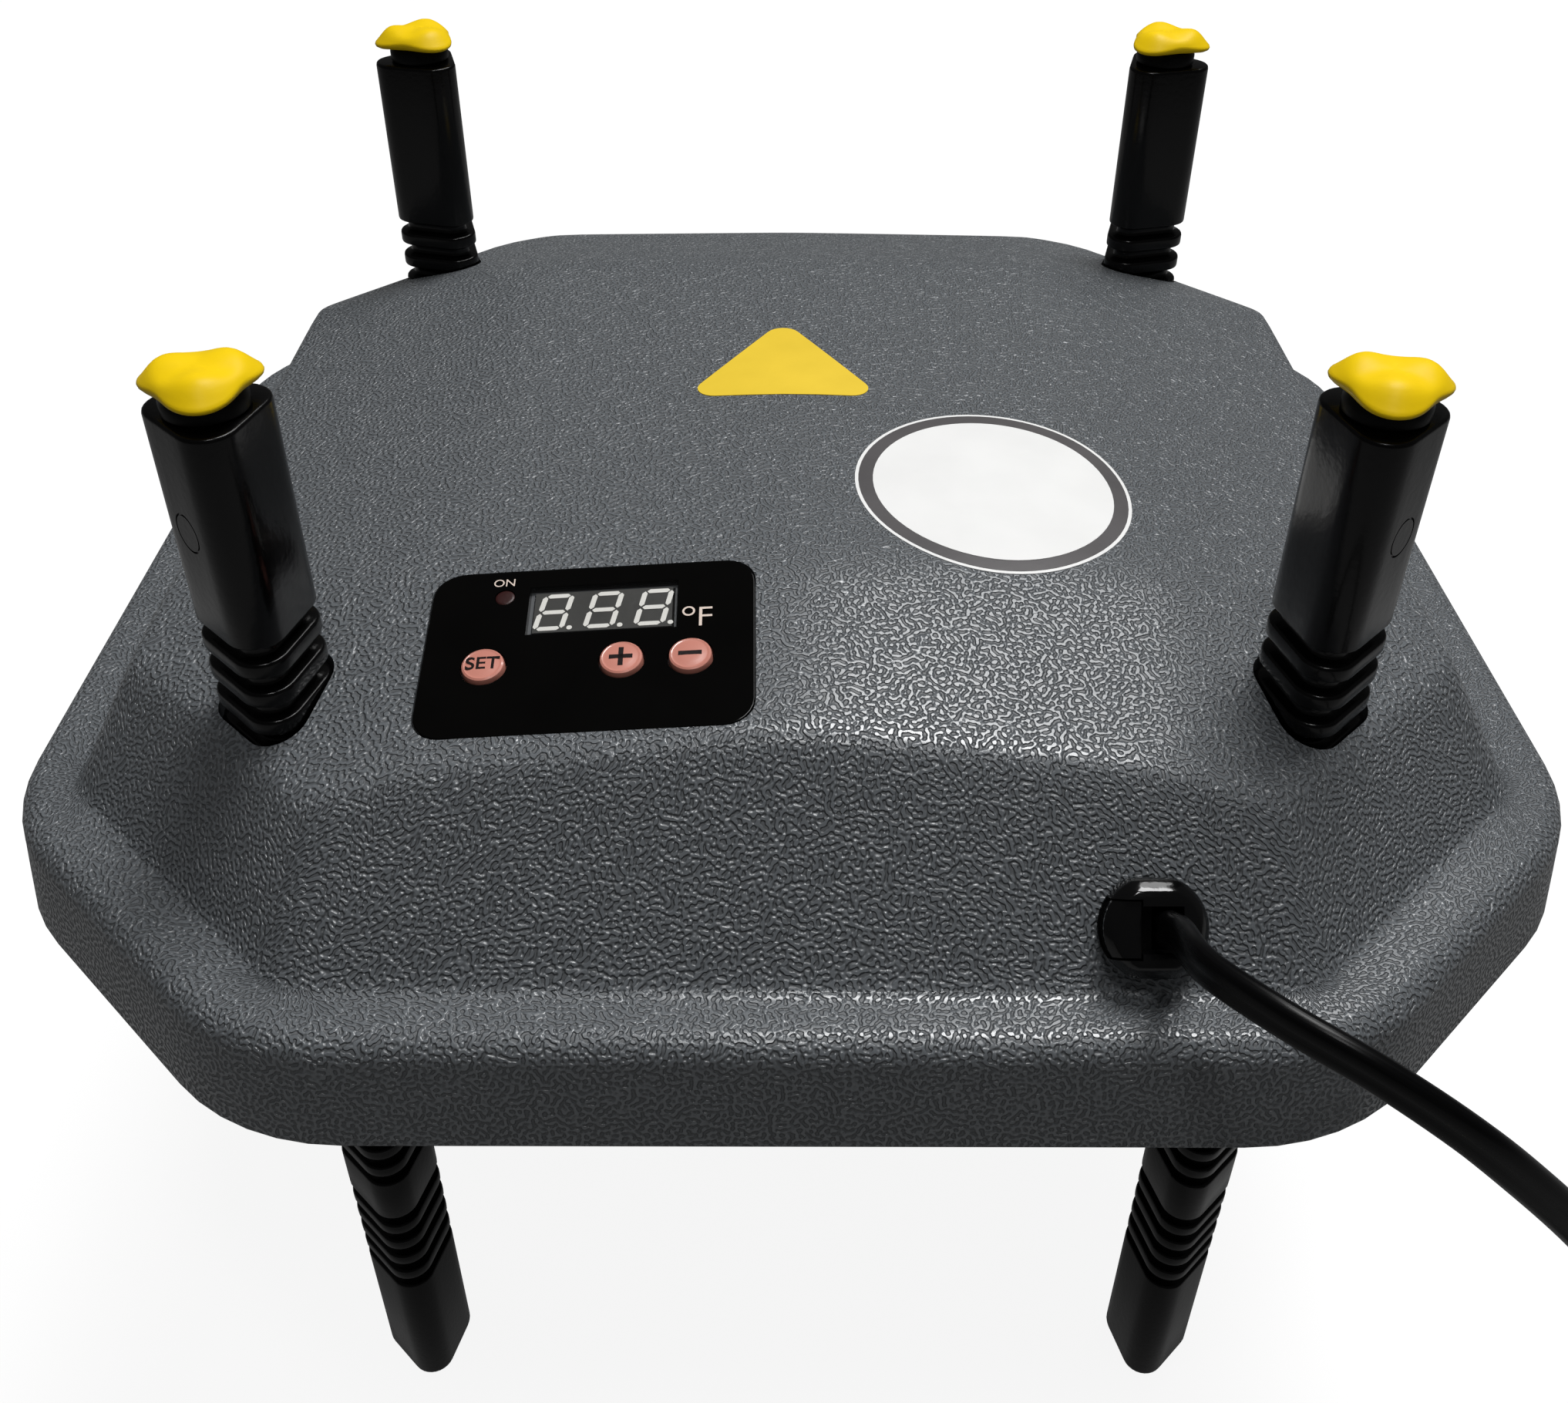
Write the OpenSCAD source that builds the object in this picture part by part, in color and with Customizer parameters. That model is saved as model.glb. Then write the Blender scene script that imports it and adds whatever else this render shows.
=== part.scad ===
// Brooder heating plate on four height-adjustable legs.
// Millimetres, +Z up, floor at z = 0, front towards -Y.

/* [Plate] */
// Width and depth of the square plate
plate_size = 250; // [244:1:260]
// Corner cut of the plate outline
plate_chamfer = 48; // [44:1:52]
// Rounding of the eight outline corners
plate_round = 36; // [24:1:40]
// Free height under the skirt at the drawn leg setting
under_height = 132; // [128:1:138]
// Height of the upright skirt
skirt_h = 18; // [17:0.5:20]
// Inward lean of the skirt at its top
skirt_draft = 1.8; // [1:0.1:2.4]
// Rounding of the skirt's upper edge
skirt_round = 4; // [2:0.5:5]
// Shell thickness of the housing
wall = 2.5; // [2.2:0.1:2.8]

/* [Dome] */
// Flat ledge between the skirt's top edge and the dome
ledge_w = 12; // [10:0.5:13]
// Corner cut of the dome outline
dome_chamfer = 42; // [38:1:45]
// Rounding of the dome outline corners
dome_round = 13; // [8:1:16]
// Ridge height above the ledge
ridge_rise = 34.6; // [34:0.2:38]
// Distance from the dome's foot to the front and back creases
crease_y = 56.6; // [55:0.2:59]
// Distance from the dome's foot to the side creases
crease_x = 59; // [55:0.5:61]
// Fall of the front and back pads in degrees
pad_fall = 12; // [10:0.5:13]
// Sideways fall of the roof at the front in degrees
roof_fall_front = 4; // [3:0.5:5]
// Sideways fall of the roof at the back in degrees
roof_fall_back = 1; // [0.5:0.5:3]
// Fall of the outer roof strips in degrees
side_fall = 13; // [11:0.5:14]
// Lean of the front and back walls from upright in degrees
wall_lean = 39; // [36:1:41]
// Lean of the side walls from upright in degrees
side_lean = 29; // [26:1:32]
// Rounding of the dome's upper edges
brow_round = 5; // [3.5:0.5:6]

/* [Legs] */
// Distance from the plate's sides to the leg axes
leg_inset = 49.3; // [48:0.1:51]
// Distance from the leg axis to the centre of each rounded corner
leg_corner = 4.5; // [4:0.1:5]
// Radius of the leg's rounded corners
leg_round = 4.35; // [4:0.05:4.6]
// Length of the leg moulding
leg_len = 219; // [215:1:226]
// Plain length above the foot
foot_len = 32.6; // [30:0.1:34]
// Pitch of the groove groups
group_pitch = 32.9; // [32:0.1:34]
// Pitch of the grooves in a group
groove_pitch = 5; // [4.6:0.1:5.2]
// Width of each groove
groove_w = 2.3; // [1.8:0.1:2.6]
// Depth of each groove
groove_d = 1.8; // [1.2:0.1:2]
// Clearance round the legs where they slide
leg_clear = 0.5; // [0.4:0.05:0.7]
// Height of the leg guides
guide_h = 22; // [20:0.5:24]
// Wall of the leg guides
guide_wall = 2; // [1.8:0.1:2.4]
// Radius of the guide's foot flange
guide_flange_r = 13; // [12.5:0.1:13.5]
// Diameter of the dark neck under each cap
neck_d = 11.5; // [10:0.5:12.5]
// Visible height of the neck
neck_h = 2.4; // [2:0.1:3.5]
// Reach of the cap's three lobes
cap_reach = 8.5; // [8:0.1:9.4]
// Hollow of the cap's sides between the lobes
cap_wave = 1; // [0.6:0.1:1.4]
// Thickness of the cap
cap_h = 3.8; // [3.4:0.1:4.4]

/* [Control panel] */
// Panel width
panel_w = 48.5; // [47.5:0.5:49]
// Panel height along the slope
panel_h = 32.1; // [31.5:0.1:33]
// Panel corner radius
panel_round = 4.6; // [3:0.1:5.5]
// Distance from the left legs' axes to the panel's centre
panel_x = 45.8; // [45.2:0.1:46.7]
// Distance from the dome's front foot to the panel's centre
panel_y = 40.4; // [40:0.1:41]
// Thickness of the panel overlay
overlay_t = 1.2; // [1:0.1:1.3]
// How far the overlay stands above the pad
overlay_proud = 0.2; // [0.1:0.05:0.3]
// Display window width
window_w = 22.1; // [21.5:0.1:22.5]
// Display window height
window_h = 9.4; // [9:0.1:9.8]
// Diameter of the push buttons
button_d = 6.3; // [6:0.1:6.6]
// Height of the buttons above the pad
button_proud = 1; // [0.8:0.1:1.2]
// Push-button travel
button_travel = 0.5; // [0.4:0.05:0.6]
// Diameter of the status lamp
lamp_d = 2.9; // [2.6:0.1:3.1]

/* [Inside] */
// Base plate thickness
base_t = 2.5; // [2:0.1:3]
// Recess of the base plate inside the skirt
base_recess = 1; // [0.6:0.1:1.4]
// Distance from the plate's sides to the heating stack
heater_margin = 47; // [46:0.5:49]
// Heating mat thickness
mat_t = 1; // [0.8:0.1:1.4]
// Heat spreader thickness
spreader_t = 0.6; // [0.4:0.1:0.8]
// Insulation thickness
insulation_t = 10; // [8:0.5:11]

/* [Cord] */
// Distance from the right legs' axes to the bushing
bushing_x = 27.1; // [26.2:0.1:28.2]
// Bushing height above the ledge
bushing_rise = 7.3; // [7:0.1:8.4]
// Width over flats of the bushing head
bushing_d = 13.6; // [13:0.1:14]
// Thickness of the bushing head
bushing_head = 5; // [4:0.5:6]
// Wide side of the flat cord
cord_w = 5.4; // [5.2:0.1:5.6]
// Thin side of the flat cord
cord_t = 3; // [2.8:0.1:3.2]
// Radius at which the coil starts
coil_r = 38; // [37:0.5:42]

/* [Hidden] */
$fn = 48;
eps = 0.02;
gap = 0.3;
fit = 0.1;

plate_half = plate_size / 2;
rim_half = plate_half - skirt_draft;
ledge_z = under_height + skirt_h;
dome_half = rim_half - ledge_w + skirt_draft;
cavity_half = rim_half - wall;
base_z = under_height + base_recess;
base_top = base_z + base_t;
leg_pos = plate_half - leg_inset;
roof_x = dome_half - crease_x;
roof_y = dome_half - crease_y;
panel_place = [panel_x - leg_pos, panel_y - dome_half];

// Dome: every vertex is where a wall plane meets the roof
pad_k = tan(pad_fall);
side_k = tan(side_fall);
wall_k = tan(wall_lean);
flank_k = tan(side_lean);
corner_step_front = 4;
corner_step_side = 8;
brow_corner_x = dome_half - dome_chamfer - corner_step_front;
brow_corner_y = dome_half - dome_chamfer - corner_step_side;

function roof_k(sy) = sy < 0 ? tan(roof_fall_front) : tan(roof_fall_back);
function roof_at(x, sy) = ridge_rise - roof_k(sy) * min(x, roof_x) - side_k * max(0, x - roof_x);
function roof_z(x, y) =
    ledge_z + roof_at(abs(x), sign(y)) - pad_k * max(0, abs(y) - roof_y);
function brow_rise(x, sy) = (roof_at(x, sy) - pad_k * (dome_half - roof_y)) / (1 - pad_k * wall_k);
function flank_base(y, sy) =
    ridge_rise - roof_k(sy) * roof_x - pad_k * max(0, y - roof_y) - side_k * (dome_half - roof_x);
function flank_rise(y, sy) = flank_base(y, sy) / (1 - side_k * flank_k);
function unit(v) = v / norm(v);
function tangent_shift(n1, n2) = (n1 + n2) / (1 + n1 * n2);

front_normal = [0, -cos(wall_lean), sin(wall_lean)];
flank_normal = [cos(side_lean), 0, sin(side_lean)];
corner_normal = unit([0.55, -0.55, 0.62]);
pad_normal = unit([0, -pad_k, 1]);
strip_normal = unit([side_k, 0, 1]);
function brow_point(x, sy, wall_n) =
    [x, sy * (dome_half - wall_k * brow_rise(x, sy)), ledge_z + brow_rise(x, sy)]
    - brow_round * flip_y(tangent_shift(pad_normal, wall_n), sy);
function flank_point(y, sy, wall_n) =
    [dome_half - flank_k * flank_rise(y, sy), sy * y, ledge_z + flank_rise(y, sy)]
    - brow_round * flip_y(tangent_shift(strip_normal, wall_n), sy);
function roof_point(x, sy) = [x, sy * roof_y, roof_z(x, sy * roof_y) - brow_round];
function flip_y(v, sy) = [v[0], -sy * v[1], v[2]];
dome_points = [for (sy = [-1, 1]) for (p = [
    roof_point(0, sy),
    roof_point(roof_x, sy),
    brow_point(0, sy, front_normal),
    brow_point(roof_x, sy, front_normal),
    brow_point(brow_corner_x, sy, unit(front_normal + corner_normal)),
    flank_point(roof_y, sy, flank_normal),
    flank_point(brow_corner_y, sy, unit(flank_normal + corner_normal))]) p];

// Bushing on the front wall
bushing_seat = 0.2;
bushing_at = [leg_pos - bushing_x, -(dome_half - wall_k * bushing_rise), ledge_z + bushing_rise]
    + bushing_seat * front_normal;
bushing_body = 16;
bushing_body_d = 11.4;
bushing_hole_d = bushing_body_d + 2 * gap;
slot_w = cord_w + 2 * gap;
slot_t = cord_t + 2 * gap;
slot_shift = 1.6;
wedge_w = 3;
wedge_h = 8;
wedge_stem_w = 2.4;
wedge_stem_h = 4.8;
wedge_l = 12;
wedge_shift = -3.6;

// Panel frame: w = 0 on the pad, w up along its normal
pad_z = roof_z(panel_place[0], panel_place[1]);
pocket_d = overlay_t - overlay_proud;
panel_gap = 0.2;
window_lip = 0.4;
window_t = 0.5;
lamp_at = [-13.3, 10.8];
window_at = [1.6, 7.7];
set_at = [-15.1, -3];
plus_at = [5, -3];
minus_at = [15, -3];
button_hole_d = button_d + 2 * gap;
flange_rim = 0.9;
flange_d = button_d + 2 * flange_rim;
flange_t = 0.8;
button_edge = 0.5;
flange_top = -wall - gap - fit;
switch_top = flange_top - flange_t - button_travel - gap;
display_w = 22.6;
display_h = 10.2;
display_t = 6.1;
display_top = -wall - gap;
face_w = window_w - 2 * (window_lip + gap);
face_h = window_h - 2 * (window_lip + gap);
face_top = overlay_proud - window_t - fit;
board_top = display_top - display_t;
board_t = 1.6;
under_board = board_top - board_t;
board_w = 46;
board_h = 31;
board_screw_x = 20.5;
board_screw_y = 12.8;
board_boss_d = 5;
board_pilot_d = 2.2;
board_pilot_h = 4.2;
board_boss_bury = 0.8;
board_screw_d = 2;
board_screw_bite = 3.6;
board_head_d = 4;
board_head_h = 1.4;
switch_size = 6;
switch_body = 3.2;
plunger_d = 3.4;

// Base screws
screw_inset = 31;
screw_y = 35;
screw_off_leg = [-13.7, 14.3];
screw_side = [plate_half - screw_inset, screw_y];
screw_end = [leg_pos, leg_pos] + screw_off_leg;
screw_places = [for (p = [screw_side, screw_end]) for (x = [-1, 1]) for (y = [-1, 1]) [x * p[0], y * p[1]]];
boss_d = 7;
pilot_d = 3.1;
screw_d = 2.9;
screw_head_d = 6;
screw_head_h = 1.2;
screw_len = 12;
boss_bury = 1.3;

// Heating stack
heater_half = plate_half - heater_margin;
heater_chamfer = 30;
heater_round = 6;
spreader_z = base_top + mat_t;
insulation_z = spreader_z + spreader_t;
cutout_at = [25, 30];
cutout_d = 16;
cutout_h = 8;
cutout_cap_d = 12;
cutout_cap_h = 3;
sensor_at = [-25, 30];
sensor_size = [8, 5, 4];
lead_from_edge = 26;
lead_x = 25;
lead_pitch = 6;
lead_at = [for (s = [-0.5, 0.5]) [s * lead_pitch - lead_x, lead_from_edge - heater_half]];
lead_d = 2.4;
lead_hole_d = 4;

// Legs
leg_places = [[-1, -1], [1, -1], [-1, 1], [1, 1]];
groups = 5;
grooves = 5;
socket_d = 7;
socket_depth = 16;
stem_d = socket_d - 2 * fit;
stem_len = 15;
peg_d = 4.4;
peg_h = 2;
peg_clear = 0.1;
cap_z = leg_len + neck_h;
cap_edge = 0.7;
leg_flat = leg_corner / 2 + leg_round;
leg_swell = 0.03;
guide_flange_t = 2;
spring_t = 0.5;
spring_w = 5;
spring_r = leg_flat + leg_clear + guide_wall + gap;
spring_h = 18;
spring_foot = 3;
nose_z = 11;
nose_half = 2.8;
nose_r = leg_flat + gap;

// Cord route from the bushing to the coil
cord_start = 12;
cord_lead = bushing_head + 6;
coil_turns = 4.25;
coil_pitch = cord_t + 0.7;
tie_t = 0.8;
tie_w = 6;
tie_clear = 0.3;
tie_side = 0.7;
coil_lift = tie_t + tie_clear;
coil_layer = cord_w + 0.5;
coil_low = coil_lift + cord_w / 2;
coil_at = [172, -169];
coil_steps = 24;
tail_len = 26;
route = [
    bushing_at - cord_start * front_normal,
    bushing_at + bushing_head * front_normal,
    bushing_at + cord_lead * front_normal,
    bushing_at + [2.7, -17.7, 10.6],
    bushing_at + [9.5, -27.7, 12.6],
    bushing_at + [19, -34.5, 11],
    bushing_at + [29.4, -38, 5],
    bushing_at + [39, -38.8, -3.6],
    bushing_at + [48.6, -38.2, -14],
    bushing_at + [57.2, -35.6, -26],
    bushing_at + [64.4, -31.6, -39.6],
    [coil_at[0] - 53.5, coil_at[1] + coil_r - 4.2, 101],
    [coil_at[0] - 48.8, coil_at[1] + coil_r - 1.2, 83],
    [coil_at[0] - 44, coil_at[1] + coil_r, 64],
    [coil_at[0] - 40.5, coil_at[1] + coil_r, 42],
    [coil_at[0] - 33.5, coil_at[1] + coil_r, 22],
    [coil_at[0] - 20, coil_at[1] + coil_r, 8],
    [coil_at[0] - 7, coil_at[1] + coil_r, coil_low],
    [coil_at[0], coil_at[1] + coil_r, coil_low]];
route_steps = 3;
boot_len = 24;
boot_r1 = 3.6;
boot_r2 = 5;
plug_len = 28;
plug_w = 13;
plug_round = 4;
blade_len = 16;
blade_w = 6.4;
blade_t = 1.5;
blade_gap = 12.7;

// Outline of a square with cut and rounded corners
module rounded_octagon(half, chamfer, round) {
    angles = [for (i = [0:7]) -22.5 + 45 * i];
    sharp = [[half, chamfer - half], [half, half - chamfer], [half - chamfer, half], [chamfer - half, half],
        [-half, half - chamfer], [-half, chamfer - half], [chamfer - half, -half], [half - chamfer, -half]];
    reach = round / cos(22.5);
    centres = [for (i = [0:7]) sharp[i] - reach * [cos(angles[i]), sin(angles[i])]];
    polygon([for (i = [0:7]) for (s = [-22.5, 22.5])
        centres[i] + round * [cos(angles[i] + s), sin(angles[i] + s)]]);
    for (c = centres)
        translate(c) circle(round);
}

module rounded_rect(w, h, r) {
    square([w - 2 * r, h], center = true);
    square([w, h - 2 * r], center = true);
    for (x = [-1, 1])
        for (y = [-1, 1])
            translate([x * (w / 2 - r), y * (h / 2 - r)]) circle(r);
}

// Rounded three-sided leg section, one corner along +X; the corners stand a hair proud of the flats
module leg_section(grow) {
    r = leg_round + grow;
    polygon([for (a = [0, 120, 240]) for (s = [-60, 60])
        leg_corner * [cos(a), sin(a)] + r * [cos(a + s), sin(a + s)]]);
    for (a = [0, 120, 240])
        translate(leg_corner * [cos(a), sin(a)]) circle(r + leg_swell);
}

// Children stand on leg i's axis with one leg corner towards the plate's middle
module on_leg(i) {
    p = leg_places[i];
    translate([p[0] * leg_pos, p[1] * leg_pos, 0])
        rotate(atan2(-p[1], -p[0])) children();
}

module on_pad() {
    translate([panel_place[0], panel_place[1], pad_z])
        rotate([pad_fall, -roof_fall_front, 0]) children();
}

module on_bushing() {
    translate(bushing_at) rotate([90 - wall_lean, 0, 0]) children();
}

module skirt_form() {
    steps = [0, 30, 60, 90];
    hull() {
        translate([0, 0, under_height])
            linear_extrude(eps) rounded_octagon(plate_half, plate_chamfer, plate_round);
        for (a = steps)
            translate([0, 0, ledge_z - eps - skirt_round * (1 - sin(a))]) linear_extrude(eps)
                rounded_octagon(rim_half - skirt_round * (1 - cos(a)), plate_chamfer,
                    plate_round - skirt_round * (1 - cos(a)));
    }
}

module dome_form(shrink, drop) {
    half = dome_half - shrink / cos(wall_lean);
    hull() {
        translate([0, 0, ledge_z - drop])
            linear_extrude(drop) rounded_octagon(half, dome_chamfer, dome_round);
        for (p = dome_points)
            for (sx = [-1, 1])
                translate([sx * p[0], p[1], p[2]]) sphere(brow_round - shrink, $fn = 20);
    }
}

module base_boss(p) {
    reach = [abs(p[0]), abs(p[1])] + boss_d / 2 * unit([abs(p[0]), abs(p[1])]);
    top = roof_z(reach[0], sign(p[1]) * reach[1]) - boss_bury;
    translate([p[0], p[1], base_top]) cylinder(d = boss_d, h = top - base_top);
}

module top_housing() {
    color("dimgray") difference() {
        union() {
            difference() {
                union() {
                    skirt_form();
                    dome_form(0, 1);
                }
                translate([0, 0, under_height - 1])
                    linear_extrude(skirt_h - wall + 1)
                        rounded_octagon(cavity_half, plate_chamfer, plate_round - wall);
                dome_form(wall, wall + 1);
            }
            for (p = screw_places)
                base_boss(p);
            on_pad() for (x = [-1, 1])
                for (y = [-1, 1])
                    translate([x * board_screw_x, y * board_screw_y, board_top])
                        cylinder(d = board_boss_d, h = -wall - board_top + board_boss_bury);
        }
        for (p = screw_places)
            translate([p[0], p[1], base_top - 1]) cylinder(d = pilot_d, h = screw_len + 1);
        for (i = [0:3])
            on_leg(i) translate([0, 0, ledge_z - wall - 1])
                linear_extrude(ridge_rise + wall + 2) leg_section(leg_clear);
        on_pad() {
            translate([0, 0, -pocket_d])
                linear_extrude(4) rounded_rect(panel_w + 2 * panel_gap, panel_h + 2 * panel_gap, panel_round);
            translate([window_at[0], window_at[1], -wall - 1]) linear_extrude(wall + 1)
                square([window_w - 2 * window_lip, window_h - 2 * window_lip], center = true);
            for (p = [set_at, plus_at, minus_at])
                translate([p[0], p[1], -wall - 1]) cylinder(d = button_hole_d, h = wall + 1);
            translate([lamp_at[0], lamp_at[1], -wall - 1]) cylinder(d = lamp_d + 2 * gap, h = wall + 1);
            for (x = [-1, 1])
                for (y = [-1, 1])
                    translate([x * board_screw_x, y * board_screw_y, board_top - 1])
                        cylinder(d = board_pilot_d, h = board_pilot_h + 1);
        }
        on_bushing() translate([0, 0, -wall - 2]) cylinder(d = bushing_hole_d, h = wall + 4);
    }
}

module base_plate() {
    color("gray") difference() {
        translate([0, 0, base_z]) linear_extrude(base_t)
            rounded_octagon(cavity_half - gap, plate_chamfer, plate_round - wall);
        for (i = [0:3])
            on_leg(i) translate([0, 0, base_z - 1]) linear_extrude(base_t + 2) leg_section(leg_clear);
        for (p = screw_places) {
            translate([p[0], p[1], base_z - 1]) cylinder(d = screw_d + 2 * gap, h = base_t + 2);
            translate([p[0], p[1], base_z - 1]) cylinder(d = screw_head_d + 2 * gap, h = screw_head_h + 1);
        }
    }
}

module base_screws() {
    color("silver") for (p = screw_places)
        translate([p[0], p[1], base_z]) {
            cylinder(d = screw_head_d, h = screw_head_h);
            cylinder(d = screw_d, h = screw_len);
        }
}

module heater_outline(inset) {
    rounded_octagon(heater_half - inset, heater_chamfer, heater_round);
}

module heating_mat() {
    color("orangered") translate([0, 0, base_top]) linear_extrude(mat_t) heater_outline(0);
}

module heat_spreader() {
    color("silver") translate([0, 0, spreader_z]) linear_extrude(spreader_t) heater_outline(0);
}

module insulation_pad() {
    color("khaki") difference() {
        translate([0, 0, insulation_z]) linear_extrude(insulation_t) heater_outline(1);
        translate([cutout_at[0], cutout_at[1], insulation_z - 1])
            cylinder(d = cutout_d + 1, h = insulation_t + 2);
        translate([sensor_at[0], sensor_at[1], insulation_z - 1]) linear_extrude(insulation_t + 2)
            square([sensor_size[0] + 1, sensor_size[1] + 1], center = true);
        for (p = lead_at)
            translate([p[0], p[1], insulation_z - 1]) cylinder(d = lead_hole_d, h = insulation_t + 2);
    }
}

module thermal_cutout() {
    color("tan") translate([cutout_at[0], cutout_at[1], insulation_z]) {
        cylinder(d = cutout_d, h = cutout_h - cutout_cap_h);
        translate([0, 0, cutout_h - cutout_cap_h]) cylinder(d = cutout_cap_d, h = cutout_cap_h);
    }
}

module thermistor() {
    color("black") translate([sensor_at[0], sensor_at[1], insulation_z + sensor_size[2] / 2])
        cube(sensor_size, center = true);
}

module panel_overlay() {
    color("black") on_pad() difference() {
        translate([0, 0, -pocket_d]) linear_extrude(overlay_t) rounded_rect(panel_w, panel_h, panel_round);
        translate([window_at[0], window_at[1], -pocket_d - 1]) linear_extrude(overlay_t + 2)
            square([window_w + 2 * fit, window_h + 2 * fit], center = true);
        for (p = [set_at, plus_at, minus_at])
            translate([p[0], p[1], -pocket_d - 1]) cylinder(d = button_hole_d, h = overlay_t + 2);
        translate([lamp_at[0], lamp_at[1], -pocket_d - 1]) cylinder(d = lamp_d + 2 * fit, h = overlay_t + 2);
    }
}

module display_window() {
    color("lightgray") on_pad() translate([window_at[0], window_at[1], overlay_proud - window_t])
        linear_extrude(window_t) square([window_w, window_h], center = true);
}

module display_module() {
    color("gray") on_pad() translate([window_at[0], window_at[1], board_top]) {
        linear_extrude(display_t) square([display_w, display_h], center = true);
        linear_extrude(face_top - board_top) square([face_w, face_h], center = true);
    }
}

module status_lamp() {
    color("firebrick") on_pad() translate([lamp_at[0], lamp_at[1], board_top])
        cylinder(d = lamp_d, h = overlay_proud - board_top);
}

module push_button(p) {
    on_pad() translate([p[0], p[1], flange_top - flange_t]) {
        cylinder(d = flange_d, h = flange_t);
        cylinder(d = button_d, h = button_proud - button_edge - flange_top + flange_t);
        translate([0, 0, button_proud - button_edge - flange_top + flange_t])
            cylinder(d1 = button_d, d2 = button_d - 2 * button_edge, h = button_edge);
    }
}

module set_button() {
    color("salmon") push_button(set_at);
}

module plus_button() {
    color("salmon") push_button(plus_at);
}

module minus_button() {
    color("salmon") push_button(minus_at);
}

module tact_switches() {
    color("dimgray") on_pad() for (p = [set_at, plus_at, minus_at])
        translate([p[0], p[1], board_top]) {
            linear_extrude(switch_body) square(switch_size, center = true);
            cylinder(d = plunger_d, h = switch_top - board_top);
        }
}

module control_board() {
    color("darkgreen") on_pad() difference() {
        translate([0, 0, under_board]) linear_extrude(board_t)
            square([board_w, board_h], center = true);
        for (x = [-1, 1])
            for (y = [-1, 1])
                translate([x * board_screw_x, y * board_screw_y, under_board - 1])
                    cylinder(d = board_screw_d + 2 * gap, h = board_t + 2);
    }
}

module board_screws() {
    color("silver") on_pad() for (x = [-1, 1])
        for (y = [-1, 1])
            translate([x * board_screw_x, y * board_screw_y, under_board]) {
                translate([0, 0, -board_head_h]) cylinder(d = board_head_d, h = board_head_h);
                cylinder(d = board_screw_d, h = board_t + board_screw_bite);
            }
}

relay_size = [15, 12, 10];
relay_at = [-11, 3];
terminal_size = [12, 8, 9];
terminal_at = [4, -9];
capacitor_d = 8;
capacitor_h = 12;
capacitor_at = [12, 7];

module relay() {
    color("royalblue") on_pad() translate([relay_at[0], relay_at[1], under_board - relay_size[2]])
        linear_extrude(relay_size[2]) square([relay_size[0], relay_size[1]], center = true);
}

module terminal_block() {
    color("green") on_pad() translate([terminal_at[0], terminal_at[1], under_board - terminal_size[2]])
        linear_extrude(terminal_size[2]) square([terminal_size[0], terminal_size[1]], center = true);
}

module mains_capacitor() {
    color("navy") on_pad() translate([capacitor_at[0], capacitor_at[1], under_board - capacitor_h])
        cylinder(d = capacitor_d, h = capacitor_h);
}

pad_up = [-cos(pad_fall) * sin(roof_fall_front), -sin(pad_fall), cos(pad_fall) * cos(roof_fall_front)];
pad_right = [cos(roof_fall_front), 0, sin(roof_fall_front)];
pad_far = [sin(pad_fall) * -sin(roof_fall_front), cos(pad_fall), sin(pad_fall) * cos(roof_fall_front)];
function pad_place(p, w) =
    [panel_place[0], panel_place[1], pad_z] + p[0] * pad_right + p[1] * pad_far + w * pad_up;

// Cord sections: across the thin side first, then along the wide side
function cord_ring8() = [for (s = [[1, 0.3], [0.75, 0.5], [-0.75, 0.5], [-1, 0.3],
    [-1, -0.3], [-0.75, -0.5], [0.75, -0.5], [1, -0.3]]) [s[1] * cord_t, s[0] * cord_w / 2]];
function cord_ring6() = [for (s = [[1, 0], [0.46, 0.5], [-0.46, 0.5], [-1, 0], [-0.46, -0.5], [0.46, -0.5]])
    [s[1] * cord_t, s[0] * cord_w / 2]];
function spline(p, i, t) =
    let (a = p[max(0, i - 1)], b = p[i], c = p[i + 1], d = p[min(len(p) - 1, i + 2)])
    0.5 * (2 * b + (c - a) * t + (2 * a - 5 * b + 4 * c - d) * t * t + (3 * b - a - 3 * c + d) * t * t * t);
function heading(p, i) = unit(p[min(len(p) - 1, i + 1)] - p[max(0, i - 1)]);
function lift(t, ref) = unit(ref - (ref * t) * t);

module cord_sweep(path, first, last, ring, ref) {
    n = len(ring);
    rings = len(path);
    dirs = [for (i = [0:rings - 1]) i == 0 ? first : i == rings - 1 ? last : heading(path, i)];
    points = [for (i = [0:rings - 1]) for (q = ring)
        path[i] + q[0] * cross(dirs[i], lift(dirs[i], ref)) + q[1] * lift(dirs[i], ref)];
    sides = [for (i = [0:rings - 2]) for (k = [0:n - 1]) for (f = [
        [i * n + k, (i + 1) * n + k, (i + 1) * n + (k + 1) % n],
        [i * n + k, (i + 1) * n + (k + 1) % n, i * n + (k + 1) % n]]) f];
    polyhedron(points, concat([[for (k = [0:n - 1]) k]], sides,
        [[for (k = [n - 1:-1:0]) (rings - 1) * n + k]]));
}

shifted_route = [for (i = [0:len(route) - 1]) i < 3 ? route[i] + slot_shift * [1, 0, 0] : route[i]];
cord_path = concat(
    [shifted_route[0], shifted_route[1]],
    [for (i = [2:len(route) - 2]) for (k = [0:route_steps - 1])
        spline(shifted_route, i, k / route_steps)],
    [route[len(route) - 1]]);

lead_ring = [for (a = [0:45:315]) lead_d / 2 * [cos(a), sin(a)]];
lead_steps = 4;
lead_stub = 4;
lead_swing = 20;
lead_dip = 6;
lead_inset = 43;
lead_y = lead_inset - dome_half;
lead_z = insulation_z + insulation_t + 4;

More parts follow.
